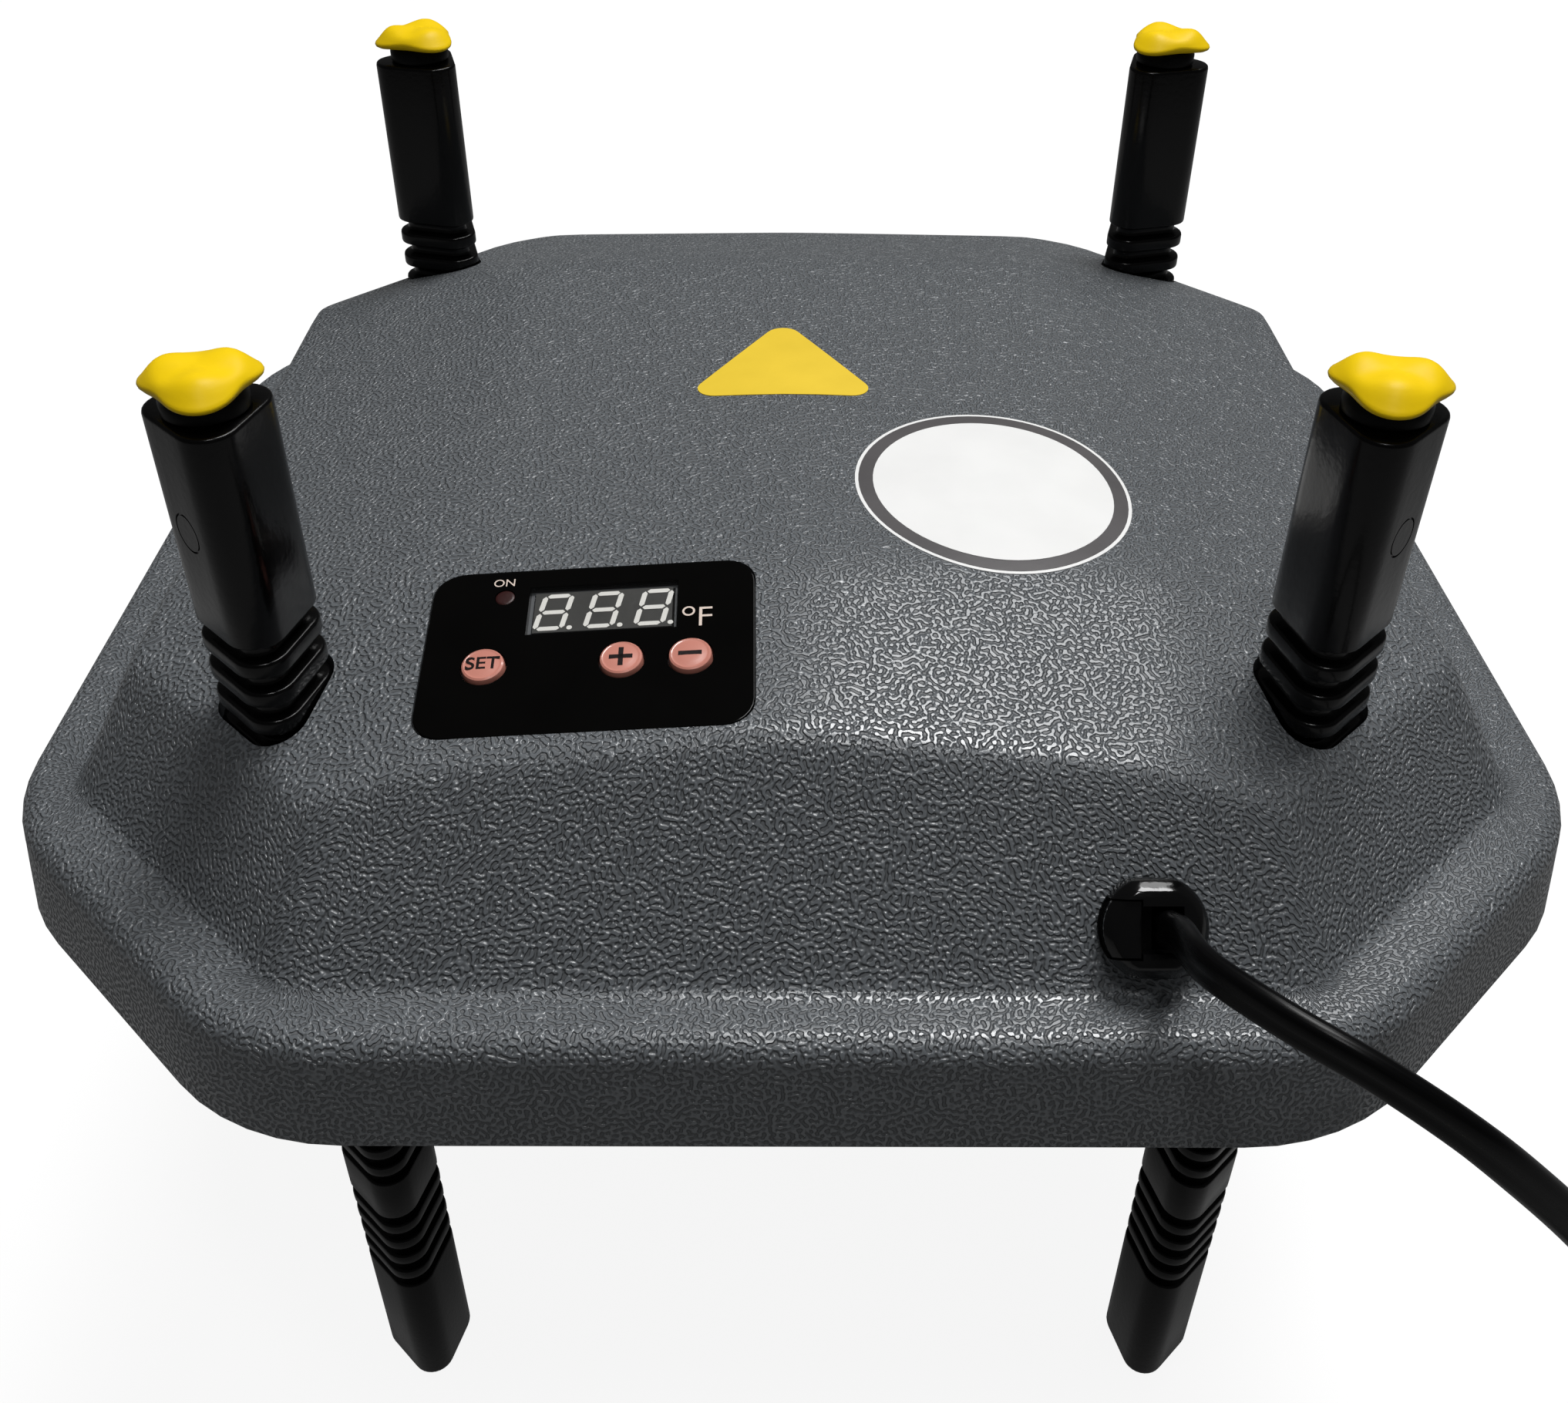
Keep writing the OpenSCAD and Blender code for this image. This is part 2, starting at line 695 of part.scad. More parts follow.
// Round lead through a list of points, straight along first and last at its ends
module lead_run(points, first, last, ref) {
    path = concat([points[0]],
        [for (i = [1:len(points) - 3]) for (k = [0:lead_steps - 1]) spline(points, i, k / lead_steps)],
        [points[len(points) - 2], points[len(points) - 1]]);
    cord_sweep(path, first, last, lead_ring, ref);
}

module internal_wiring() {
    foot = under_board - terminal_size[2];
    color("white") {
        for (i = [0, 1]) {
            start = pad_place(terminal_at + [3 * i - 4.5, 0], foot);
            end = [lead_at[i][0], lead_at[i][1], insulation_z];
            lead_run([start, start - lead_stub * pad_up, end + [0, 0, insulation_t + lead_stub], end],
                -pad_up, [0, 0, -1], [1, 0, 0]);
        }
        tail = cord_path[0];
        drop = pad_place(terminal_at + [4, 0], foot);
        lead_run([tail, tail - lead_stub * front_normal, [bushing_at[0] - lead_swing, lead_y - lead_dip, lead_z],
            [0, lead_y, lead_z], drop - lead_stub * pad_up, drop], -front_normal, pad_up, [0, 0.8, 0.6]);
    }
}

module leg_guide(i) {
    on_leg(i) translate([0, 0, base_top]) difference() {
        union() {
            cylinder(r = guide_flange_r, h = guide_flange_t);
            linear_extrude(guide_h) leg_section(leg_clear + guide_wall);
        }
        translate([0, 0, -1]) linear_extrude(guide_h + 2) leg_section(leg_clear);
        translate([-spring_r, -spring_w / 2 - gap, guide_flange_t + nose_z - nose_half - 1])
            cube([guide_wall + 1.5, spring_w + 2 * gap, 2 * nose_half + 2]);
    }
}

module leg_guide_fl() { color("gray") leg_guide(0); }
module leg_guide_fr() { color("gray") leg_guide(1); }
module leg_guide_bl() { color("gray") leg_guide(2); }
module leg_guide_br() { color("gray") leg_guide(3); }

// Leaf spring with a bent foot and a nose that reaches through the guide's window
module leg_spring(i) {
    on_leg(i) translate([0, -spring_w / 2, base_top + guide_flange_t]) rotate([90, 0, 180])
        linear_extrude(spring_w) polygon([
            [spring_r, 0],
            [spring_r + spring_foot, 0],
            [spring_r + spring_foot, spring_t],
            [spring_r + spring_t, spring_t],
            [spring_r + spring_t, nose_z - nose_half + 0.2],
            [nose_r + spring_t * 1.5, nose_z],
            [spring_r + spring_t, nose_z + nose_half - 0.2],
            [spring_r + spring_t, spring_h],
            [spring_r, spring_h],
            [spring_r, nose_z + nose_half],
            [nose_r, nose_z],
            [spring_r, nose_z - nose_half]]);
}

module leg_spring_fl() { color("silver") leg_spring(0); }
module leg_spring_fr() { color("silver") leg_spring(1); }
module leg_spring_bl() { color("silver") leg_spring(2); }
module leg_spring_br() { color("silver") leg_spring(3); }

module leg_tube(i) {
    on_leg(i) difference() {
        linear_extrude(leg_len) leg_section(0);
        for (g = [0:groups - 1])
            for (n = [0:grooves - 1])
                translate([0, 0, foot_len + g * group_pitch + n * groove_pitch]) linear_extrude(groove_w)
                    difference() {
                        circle(leg_corner + leg_round + 1);
                        leg_section(-groove_d);
                    }
        translate([0, 0, leg_len - socket_depth]) cylinder(d = socket_d, h = socket_depth + 1);
    }
}

module leg_tube_fl() { color("black") leg_tube(0); }
module leg_tube_fr() { color("black") leg_tube(1); }
module leg_tube_bl() { color("black") leg_tube(2); }
module leg_tube_br() { color("black") leg_tube(3); }

module leg_plug(i) {
    on_leg(i) {
        translate([0, 0, leg_len - stem_len]) cylinder(d = stem_d, h = stem_len + eps);
        translate([0, 0, leg_len]) cylinder(d = neck_d, h = neck_h);
        translate([0, 0, leg_len]) cylinder(d = peg_d, h = neck_h + peg_h);
    }
}

module leg_plug_fl() { color("black") leg_plug(0); }
module leg_plug_fr() { color("black") leg_plug(1); }
module leg_plug_bl() { color("black") leg_plug(2); }
module leg_plug_br() { color("black") leg_plug(3); }

module cap_section(inset) {
    polygon([for (a = [0:6:354])
        (cap_reach - cap_wave - inset + cap_wave * cos(3 * a)) * [cos(a), sin(a)]]);
}

module leg_cap(i) {
    on_leg(i) translate([0, 0, cap_z]) difference() {
        union() {
            linear_extrude(cap_h - cap_edge / 2) cap_section(cap_edge);
            translate([0, 0, cap_edge]) linear_extrude(cap_h - 2 * cap_edge) cap_section(0);
            linear_extrude(cap_h) cap_section(2 * cap_edge);
        }
        translate([0, 0, -1]) cylinder(d = peg_d + 2 * fit, h = peg_h + peg_clear + 1);
    }
}

module leg_cap_fl() { color("gold") leg_cap(0); }
module leg_cap_fr() { color("gold") leg_cap(1); }
module leg_cap_bl() { color("gold") leg_cap(2); }
module leg_cap_br() { color("gold") leg_cap(3); }

module wedge_form(grow, rise) {
    translate([wedge_shift, 0, 0]) linear_extrude(bushing_head + rise)
        square([wedge_w + 2 * grow, wedge_h + 2 * grow], center = true);
    translate([wedge_shift, 0, bushing_head - wedge_l]) linear_extrude(wedge_l + rise)
        square([wedge_stem_w + 2 * grow, wedge_stem_h + 2 * grow], center = true);
}

module cord_bushing() {
    color("black") on_bushing() difference() {
        union() {
            rotate(22.5) cylinder(d = bushing_d / cos(22.5), h = bushing_head, $fn = 8);
            translate([0, 0, -bushing_body]) cylinder(d = bushing_body_d, h = bushing_body + eps);
        }
        translate([slot_shift, 0, -bushing_body - 1]) linear_extrude(bushing_body + bushing_head + 2)
            square([slot_t, slot_w], center = true);
        translate([0, 0, -fit]) wedge_form(fit, 1);
    }
}

module bushing_wedge() {
    color("black") on_bushing() wedge_form(0, 0);
}

module supply_cord() {
    color("black") cord_sweep(cord_path, front_normal, [1, 0, 0], cord_ring8(), [0, 0, 1]);
}

// Flat coil: in on the lower layer, up in the half turn where it reverses, out on the upper one
coil_count = 2 * coil_turns * coil_steps;
function coil_radius(t) = coil_r - coil_pitch * (coil_turns - abs(t - coil_turns));
function ease(t) = t * t * (3 - 2 * t);
function coil_rise(t) = coil_layer * ease(min(1, max(0, (t - coil_turns + 0.25) / 0.5)));
coil_path = [for (i = [0:coil_count]) let (t = i / coil_steps, a = 90 - 360 * t)
    [coil_at[0] + coil_radius(t) * cos(a), coil_at[1] + coil_radius(t) * sin(a), coil_low + coil_rise(t)]];
coil_end = coil_path[coil_count];
tail_path = [for (k = [1:3]) coil_end - [tail_len * k / 3, 0, 0]];
plug_at = coil_end - [tail_len, 0, 0];
cord_core = (cord_w - cord_t) / 2;
function section_gap(p, q) =
    norm([norm([p[0] - q[0], p[1] - q[1]]), max(0, abs(p[2] - q[2]) - 2 * cord_core)]) - cord_t;
coil_gap = min([for (i = [0:coil_count - coil_steps / 2]) for (j = [i + coil_steps / 2:coil_count])
    section_gap(coil_path[i], coil_path[j])]);
echo(coil_least_gap = coil_gap);

module cord_coil() {
    color("black") cord_sweep(concat(coil_path, tail_path), [1, 0, 0], [-1, 0, 0], cord_ring6(), [0, 0, 1]);
}

module coil_tie() {
    outer = coil_radius(0.75) + cord_t / 2 + tie_side;
    inner = coil_radius(coil_turns + 0.5) - cord_t / 2 - tie_side;
    top = coil_low + coil_layer + cord_w / 2 + tie_clear;
    low = coil_lift - tie_clear;
    color("black") translate([coil_at[0], coil_at[1] + tie_w / 2, 0]) rotate([90, 0, 0])
        linear_extrude(tie_w) difference() {
            translate([-outer - tie_t, low - tie_t])
                square([outer - inner + 2 * tie_t, top - low + 2 * tie_t]);
            translate([-outer, low]) square([outer - inner, top - low]);
        }
}

module plug_body() {
    height = 2 * plug_at[2];
    color("black") translate(plug_at) rotate([0, -90, 0]) {
        cylinder(r1 = boot_r1, r2 = boot_r2, h = boot_len);
        translate([0, 0, boot_len]) linear_extrude(plug_len) rounded_rect(height, plug_w, plug_round);
    }
}

module plug_blades() {
    color("silver") for (s = [-1, 1])
        translate([plug_at[0] - boot_len - plug_len - blade_len, plug_at[1] - blade_w / 2,
            plug_at[2] + s * blade_gap / 2 - blade_t / 2]) cube([blade_len, blade_w, blade_t]);
}

top_housing();
base_plate();
base_screws();
heating_mat();
heat_spreader();
insulation_pad();
thermal_cutout();
thermistor();
panel_overlay();
display_window();
display_module();
status_lamp();
set_button();
plus_button();
minus_button();
tact_switches();
control_board();
board_screws();
relay();
terminal_block();
mains_capacitor();
internal_wiring();
leg_guide_fl();
leg_guide_fr();
leg_guide_bl();
leg_guide_br();
leg_spring_fl();
leg_spring_fr();
leg_spring_bl();
leg_spring_br();
leg_tube_fl();
leg_tube_fr();
leg_tube_bl();
leg_tube_br();
leg_plug_fl();
leg_plug_fr();
leg_plug_bl();
leg_plug_br();
leg_cap_fl();
leg_cap_fr();
leg_cap_bl();
leg_cap_br();
cord_bushing();
bushing_wedge();
supply_cord();
cord_coil();
coil_tie();
plug_body();
plug_blades();
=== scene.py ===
"""Looks of a brooder heating plate on four grooved legs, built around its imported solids.

Lengths in the classes are millimetres in the part's own frame: +Z up, floor at zero, front towards -Y.
They turn into metres where a mesh is made. Lamps, the floor and the depth of a relief are in metres.
"""

import logging
import math
from dataclasses import dataclass, field
from enum import Enum
from typing import Callable, Dict, List, Sequence, Tuple

import bmesh
import bpy
from mathutils import Matrix, Vector


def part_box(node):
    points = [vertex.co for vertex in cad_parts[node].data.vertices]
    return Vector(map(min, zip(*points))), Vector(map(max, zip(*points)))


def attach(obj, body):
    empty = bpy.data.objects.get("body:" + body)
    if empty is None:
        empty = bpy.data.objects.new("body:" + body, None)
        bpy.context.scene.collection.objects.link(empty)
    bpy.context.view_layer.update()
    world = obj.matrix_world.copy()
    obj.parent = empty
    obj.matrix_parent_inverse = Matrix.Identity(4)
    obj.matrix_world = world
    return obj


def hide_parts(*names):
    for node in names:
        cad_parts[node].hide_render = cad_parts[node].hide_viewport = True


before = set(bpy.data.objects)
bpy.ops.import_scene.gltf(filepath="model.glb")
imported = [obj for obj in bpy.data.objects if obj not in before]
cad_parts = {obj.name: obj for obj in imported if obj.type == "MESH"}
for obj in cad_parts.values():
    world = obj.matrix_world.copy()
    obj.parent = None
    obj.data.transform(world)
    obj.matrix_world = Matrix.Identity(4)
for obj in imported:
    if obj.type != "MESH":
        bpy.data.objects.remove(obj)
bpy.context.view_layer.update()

MM = 0.001
PLATE = "plate"
WHITE = (1.0, 1.0, 1.0, 1.0)
CAPITAL_SHARE = 0.7
INK = 0.02
DIGITS = 7
BEVEL_STEPS = 3
log = logging.getLogger("heating_plate")

Piece = bpy.types.Object
Tree = bpy.types.NodeTree
Node = bpy.types.Node
Socket = bpy.types.NodeSocket
Point = Tuple[float, float, float]
Plan = Tuple[float, float]
Ring = List[Point]


class Corner(Enum):
    """The four legs by their place on the plate."""

    FRONT_LEFT = ("fl", -1, -1)
    FRONT_RIGHT = ("fr", 1, -1)
    BACK_LEFT = ("bl", -1, 1)
    BACK_RIGHT = ("br", 1, 1)

    @property
    def tag(self) -> str:
        """Short name in the nodes and bodies."""
        return self.value[0]

    @property
    def side(self) -> Tuple[int, int]:
        """Signs of the leg's X and Y."""
        return self.value[1], self.value[2]

    @property
    def inwards(self) -> float:
        """Direction from the leg towards the plate's middle, in degrees."""
        return math.degrees(math.atan2(-self.value[2], -self.value[1]))


class Key(Enum):
    """The push buttons: body, node, place on the panel and legend."""

    SET = ("set_key", "set_button", (-15.1, -3.0), "SET")
    PLUS = ("plus_key", "plus_button", (5.0, -3.0), "+")
    MINUS = ("minus_key", "minus_button", (15.0, -3.0), "-")

    @property
    def body(self) -> str:
        """Body that the button rides on."""
        return self.value[0]

    @property
    def node(self) -> str:
        """Solid that the button replaces."""
        return self.value[1]

    @property
    def place(self) -> Plan:
        """Place on the panel."""
        return self.value[2]

    @property
    def legend(self) -> str:
        """Mark on the button's face."""
        return self.value[3]


class Joining(Enum):
    """How a tool meets the piece that it works on."""

    CUT = "DIFFERENCE"
    FUSE = "UNION"


# Outlines


def between(a: Plan, b: Plan, share: float) -> Plan:
    """Point that lies a share of the way from one point to another."""
    return a[0] + (b[0] - a[0]) * share, a[1] + (b[1] - a[1]) * share


def arc(centre: Plan, radius: float, start: float, sweep: float, steps: int) -> List[Plan]:
    """Points along an arc; start and sweep in degrees, with one point more than steps."""
    angles = [math.radians(start + sweep * i / steps) for i in range(steps + 1)]
    return [(centre[0] + radius * math.cos(a), centre[1] + radius * math.sin(a)) for a in angles]


def round_edge(radius: float, steps: int) -> List[Plan]:
    """Inset and drop of a rounded edge, from the side of a plate to its face."""
    angles = [math.radians(90.0 * i / steps) for i in range(steps + 1)]
    return [(radius * (1 - math.cos(a)), radius * (1 - math.sin(a))) for a in angles]


def closed_run(bends: Sequence[List[Plan]], steps: Sequence[int]) -> List[Plan]:
    """Closed outline of bends with straight runs between them.

    Args:
        bends: points of each bend, in order.
        steps: chords of the runs after the bends, used in turn.

    Returns:
        The outline.
    """
    out: List[Plan] = []
    for i, bend in enumerate(bends):
        after, count = bends[(i + 1) % len(bends)][0], steps[i % len(steps)]
        out += bend + [between(bend[-1], after, k / count) for k in range(1, count)]
    return out


def circle(radius: float, z: float, count: int = 48, at: Plan = (0.0, 0.0)) -> Ring:
    """Level ring of points round a place."""
    turn = 2 * math.pi / count
    return [(at[0] + radius * math.cos(i * turn), at[1] + radius * math.sin(i * turn), z) for i in range(count)]


def rounded_rect(width: float, height: float, radius: float, steps: int = 6) -> List[Plan]:
    """Outline of a rectangle with round corners, counter-clockwise.

    Args:
        width: size along X.
        height: size along Y.
        radius: radius of the corners.
        steps: chords of each corner.

    Returns:
        The outline.
    """
    out: List[Plan] = []
    for quarter, (sx, sy) in enumerate(((1, 1), (-1, 1), (-1, -1), (1, -1))):
        centre = (sx * (width / 2 - radius), sy * (height / 2 - radius))
        out += arc(centre, radius, 90.0 * quarter, 90.0, steps)
    return out


# Modelling helpers


def deselect() -> None:
    """Leave edit mode and select nothing."""
    if bpy.context.object and bpy.context.object.mode != "OBJECT":
        bpy.ops.object.mode_set(mode="OBJECT")
    bpy.ops.object.select_all(action="DESELECT")


def pick(obj: Piece) -> None:
    """Make one object the only selected and the active one.

    Args:
        obj: object to pick.
    """
    deselect()
    obj.select_set(True)
    bpy.context.view_layer.objects.active = obj


def edit_mesh(obj: Piece) -> bmesh.types.BMesh:
    """Look into the mesh of a piece in edit mode.

    Args:
        obj: piece in edit mode.

    Returns:
        Its mesh, with its points in order.
    """
    mesh = bmesh.from_edit_mesh(obj.data)
    mesh.verts.ensure_lookup_table()
    return mesh


def face_outwards(obj: Piece) -> None:
    """Turn all faces of a piece outwards.

    Args:
        obj: piece to turn.
    """
    pick(obj)
    bpy.ops.object.mode_set(mode="EDIT")
    bpy.ops.mesh.select_all(action="SELECT")
    bpy.ops.mesh.normals_make_consistent(inside=False)
    bpy.ops.object.mode_set(mode="OBJECT")


def loft(name: str, rings: Sequence[Ring], start: bool = True) -> Piece:
    """Pull a circle through a row of rings, one extrusion each, and close the last ring.

    Args:
        name: name of the new piece.
        rings: equally long rings of points.
        start: close the first ring too.

    Returns:
        The new piece.
    """
    deselect()
    count = len(rings[0])
    bpy.ops.mesh.primitive_circle_add(vertices=count, radius=1.0, fill_type="NOTHING")
    obj = bpy.context.active_object
    obj.name = obj.data.name = name
    bpy.ops.object.mode_set(mode="EDIT")
    bpy.ops.mesh.select_mode(type="EDGE")
    bpy.ops.mesh.select_all(action="SELECT")
    mesh = edit_mesh(obj)
    for vert, place in zip(mesh.verts, rings[0]):
        vert.co = Vector(place) * MM
    for ring in rings[1:]:
        mesh = edit_mesh(obj)
        before = len(mesh.verts)
        bpy.ops.mesh.extrude_region()
        mesh = edit_mesh(obj)
        old = {mesh.verts[before - count + k].co.to_tuple(DIGITS): k for k in range(count)}
        fresh = list(mesh.verts)[before:]
        if [old[vert.co.to_tuple(DIGITS)] for vert in fresh] != list(range(count)):
            raise ValueError(f"{name}: the extruded ring is out of order")
        for vert, place in zip(fresh, ring):
            vert.co = Vector(place) * MM
    bpy.ops.mesh.edge_face_add()
    if start:
        bpy.ops.mesh.select_all(action="DESELECT")
        mesh = edit_mesh(obj)
        for i in range(count):
            mesh.verts[i].select = True
        mesh.select_flush(True)
        bmesh.update_edit_mesh(obj.data)
        bpy.ops.mesh.select_mode(type="VERT")
        bpy.ops.mesh.edge_face_add()
    face_outwards(obj)
    return obj


def smooth(obj: Piece, angle: float = 35.0) -> Piece:
    """Shade a piece smooth, with its sharp edges left crisp.

    Args:
        obj: piece to shade.
        angle: sharpest edge that still looks round, in degrees.

    Returns:
        The same piece.
    """
    pick(obj)
    bpy.ops.object.shade_smooth_by_angle(angle=math.radians(angle))
    return obj


def add_modifier(obj: Piece, kind: str, **settings: object) -> None:
    """Add a modifier, set it and apply it.

    Args:
        obj: piece that gets it.
        kind: kind of the modifier.
        settings: its values by name.
    """
    pick(obj)
    made = obj.modifiers.new(kind.lower(), kind)
    for key, value in settings.items():
        setattr(made, key, value)
    bpy.ops.object.modifier_apply(modifier=made.name)


def combine(obj: Piece, joining: Joining, tools: Sequence[Piece]) -> Piece:
    """Work tools into a piece and throw the tools away.

    Args:
        obj: piece to work on.
        joining: whether the tools cut or fuse.
        tools: closed meshes.

    Returns:
        The same piece.
    """
    for tool in tools:
        add_modifier(obj, "BOOLEAN", operation=joining.value, solver="EXACT", object=tool)
        bpy.data.objects.remove(tool, do_unlink=True)
    return obj


def cut(obj: Piece, *tools: Piece) -> Piece:
    """Cut tools out of a piece."""
    return combine(obj, Joining.CUT, tools)


def fuse(obj: Piece, *tools: Piece) -> Piece:
    """Fuse tools to a piece."""
    return combine(obj, Joining.FUSE, tools)


def join(name: str, parts: Sequence[Piece]) -> Piece:
    """Join several meshes into one named piece.

    Args:
        name: name of the piece.
        parts: its meshes, the first of which takes up the others.

    Returns:
        The piece.
    """
    pick(parts[0])
    for part in parts[1:]:
        part.select_set(True)
    if len(parts) > 1:
        bpy.ops.object.join()
    parts[0].name = parts[0].data.name = name
    return parts[0]


def settle(obj: Piece, place: Matrix) -> Piece:
    """Move a piece to its place and apply that to its mesh.

    Args:
        obj: piece to move.
        place: where it goes, in metres.

    Returns:
        The same piece.
    """
    pick(obj)
    obj.matrix_world = place @ obj.matrix_world
    bpy.ops.object.transform_apply(location=True, rotation=True, scale=True)
    return obj


def dress(obj: Piece, finish: "Finish", body: str, slot: str, *nodes: str) -> Piece:
    """Give a new piece its finish and its place in the part.

    Args:
        obj: new piece.
        finish: finish that it gets.
        body: body that it rides on.
        slot: material slot of the record; not used.
        nodes: solids that it stands for.

    Returns:
        The same piece.
    """
    obj.data.materials.clear()
    obj.data.materials.append(finish.material())
    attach(obj, body)
    if nodes:
        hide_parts(*nodes)
    log.info("%s rides on %s", obj.name, body)
    return obj


def revolve(name: str, profile: Sequence[Plan], count: int = 48, at: Plan = (0.0, 0.0)) -> Piece:
    """Round piece from (radius, height) pairs, bottom to top."""
    return smooth(loft(name, [circle(r, z, count, at) for r, z in profile]))


def slab(name: str, outline: Callable[[float], List[Plan]], low: float, high: float, edge: float,
         steps: int = 3) -> Piece:
    """Plate with rounded upper and lower edges.

    Args:
        name: name of the piece.
        outline: outline for an inset.
        low: height of the under face.
        high: height of the upper face.
        edge: radius of the edges.
        steps: facets in each rounded edge.

    Returns:
        The new piece.
    """
    levels = [(inset, low + drop) for inset, drop in reversed(round_edge(edge, steps))]
    levels += [(inset, low + high - z) for inset, z in reversed(levels)]
    return smooth(loft(name, [[(x, y, z) for x, y in outline(inset)] for inset, z in levels]))


def block(name: str, size: Point, centre: Point, bevel: float = 0.0) -> Piece:
    """Box for small bars and cutting tools.

    Args:
        name: name of the piece.
        size: its three sides.
        centre: its middle.
        bevel: radius of its edges.

    Returns:
        The new piece.
    """
    deselect()
    bpy.ops.mesh.primitive_cube_add(size=1.0)
    obj = bpy.context.active_object
    obj.name = obj.data.name = name
    bpy.ops.object.mode_set(mode="EDIT")
    bpy.ops.mesh.select_all(action="SELECT")
    bpy.ops.transform.resize(value=[side * MM for side in size])
    bpy.ops.transform.translate(value=[c * MM for c in centre])
    if bevel:
        bpy.ops.mesh.bevel(offset=bevel * MM, segments=BEVEL_STEPS, affect="EDGES")
    bpy.ops.object.mode_set(mode="OBJECT")
    return smooth(obj)


def lettering(name: str, text: str, height: float, at: Plan, z: float, weight: float = 0.0) -> Piece:
    """Flat raised lettering, made a mesh.

    Args:
        name: name of the piece.
        text: characters to draw.
        height: height of a capital.
        at: centre of the word.
        z: height of its under face.
        weight: how much the strokes swell.

    Returns:
        The new piece, still in the frame of what carries it.
    """
    deselect()
    bpy.ops.object.text_add()
    obj = bpy.context.active_object
    obj.name = name
    obj.data.body = text
    obj.data.align_x = "CENTER"
    obj.data.align_y = "CENTER"
    obj.data.size = height / CAPITAL_SHARE * MM
    obj.data.offset = weight * MM
    obj.data.extrude = INK * MM
    obj.location = (at[0] * MM, at[1] * MM, (z + INK) * MM)
    bpy.ops.object.convert(target="MESH")
    bpy.ops.object.transform_apply(location=True, rotation=True, scale=True)
    return bpy.context.active_object


# Finishes


def set_inputs(node: Node, **values: object) -> Node:
    """Set inputs of a shader node.

    Args:
        node: node to set.
        values: values by the inputs' names, with _ for a blank.

    Returns:
        The same node.
    """
    for name, value in values.items():
        node.inputs[name.replace("_", " ")].default_value = value
    return node


def add_node(tree: Tree, kind: str, **values: object) -> Node:
    """Add a shader node by its kind and set inputs of it."""
    return set_inputs(tree.nodes.new(f"ShaderNode{kind}"), **values)


def add_material(name: str, **values: object) -> Tuple[bpy.types.Material, Node]:
    """Add a material and set inputs of its shader.

    Args:
        name: name of the material.
        values: values by the inputs' names, with _ for a blank.

    Returns:
        The material and its shader.
    """
    made = bpy.data.materials.new(name)
    made.use_nodes = True
    shader = next(n for n in made.node_tree.nodes if n.type == "BSDF_PRINCIPLED")
    return made, set_inputs(shader, **values)


@dataclass(frozen=True)
class Finish:
    """Plain moulded plastic with a faint random mottling in colour and gloss."""

    name: str
    colour: Tuple[float, float, float]
    roughness: float = 0.45
    # Spread of the colour round its value: random mottle on most finishes, painted shade in the grooves and painted
    # highlight on the ridges of the grained shell.
    mottle_and_groove_shade: float = 0.12
    mottle_scale: float = 90.0
    mottle_detail: float = 3.0
    mottle_span: Plan = (0.3, 0.7)
    gloss_spread: float = 0.15
    gloss_limits: Plan = (0.02, 1.0)
    bump: float = 0.08
    bump_scale: float = 900.0
    bump_detail: float = 2.0
    bump_depth: float = 0.0004
    metallic: float = 0.0
    specular: float = 0.5
    coat: float = 0.0
    coat_roughness: float = 0.06

    def material(self) -> bpy.types.Material:
        """Build the material once and hand it out again later.

        Returns:
            The material.
        """
        known = bpy.data.materials.get(self.name)
        if known:
            return known
        made, shader = add_material(self.name, Metallic=self.metallic, Specular_IOR_Level=self.specular,
                                    Coat_Weight=self.coat, Coat_Roughness=self.coat_roughness)
        made.diffuse_color = (*self.colour, 1.0)
        self.pattern(made.node_tree, shader)
        return made

    def pattern(self, tree: Tree, shader: Node) -> None:
        """Wire colour, roughness and surface relief.

        Args:
            tree: the material's nodes.
            shader: its shader.
        """
        place = add_node(tree, "TexCoord").outputs["Object"]
        cloud = self.noise(tree, place, self.mottle_scale, self.mottle_detail)
        self.tint(tree, cloud, shader)
        tree.links.new(self.gloss(tree, cloud), shader.inputs["Roughness"])
        self.relief(tree, self.noise(tree, place, self.bump_scale, self.bump_detail), shader)

    def noise(self, tree: Tree, place: Socket, scale: float, detail: float) -> Socket:
        """Add a cloudy noise.

        Args:
            tree: the material's nodes.
            place: coordinates that it lies on.
            scale: how fine it is.
            detail: how many finer layers it has.

        Returns:
            Its value.
        """
        node = add_node(tree, "TexNoise", Scale=scale, Detail=detail)
        tree.links.new(place, node.inputs["Vector"])
        return node.outputs["Fac"]

    def tint(self, tree: Tree, factor: Socket, shader: Node) -> None:
        """Colour between a darker and a lighter shade of the finish.

        Args:
            tree: the material's nodes.
            factor: value that picks the shade.
            shader: the material's shader.
        """
        ramp = add_node(tree, "ValToRGB")
        shades = (1 - self.mottle_and_groove_shade, 1 + self.mottle_and_groove_shade)
        for stop, position, shade in zip(ramp.color_ramp.elements, self.mottle_span, shades):
            stop.position = position
            stop.color = (*[min(1.0, c * shade) for c in self.colour], 1.0)
        tree.links.new(factor, ramp.inputs["Fac"])
        tree.links.new(ramp.outputs["Color"], shader.inputs["Base Color"])

    def gloss(self, tree: Tree, factor: Socket) -> Socket:
        """Roughness that wanders a little round its value.

        Args:
            tree: the material's nodes.
            factor: value that it wanders with.

        Returns:
            The roughness.
        """
        least, most = self.gloss_limits
        span = add_node(tree, "MapRange", To_Min=max(least, self.roughness * (1 - self.gloss_spread)),
                        To_Max=min(most, self.roughness * (1 + self.gloss_spread)))
        tree.links.new(factor, span.inputs["Value"])
        return span.outputs["Result"]

    def relief(self, tree: Tree, height: Socket, shader: Node) -> None:
        """Surface relief from a height.

        Args:
            tree: the material's nodes.
            height: height from 0 to 1.
            shader: the material's shader.
        """
        bump = add_node(tree, "Bump", Strength=self.bump, Distance=self.bump_depth)
        tree.links.new(height, bump.inputs["Height"])
        tree.links.new(bump.outputs["Normal"], shader.inputs["Normal"])


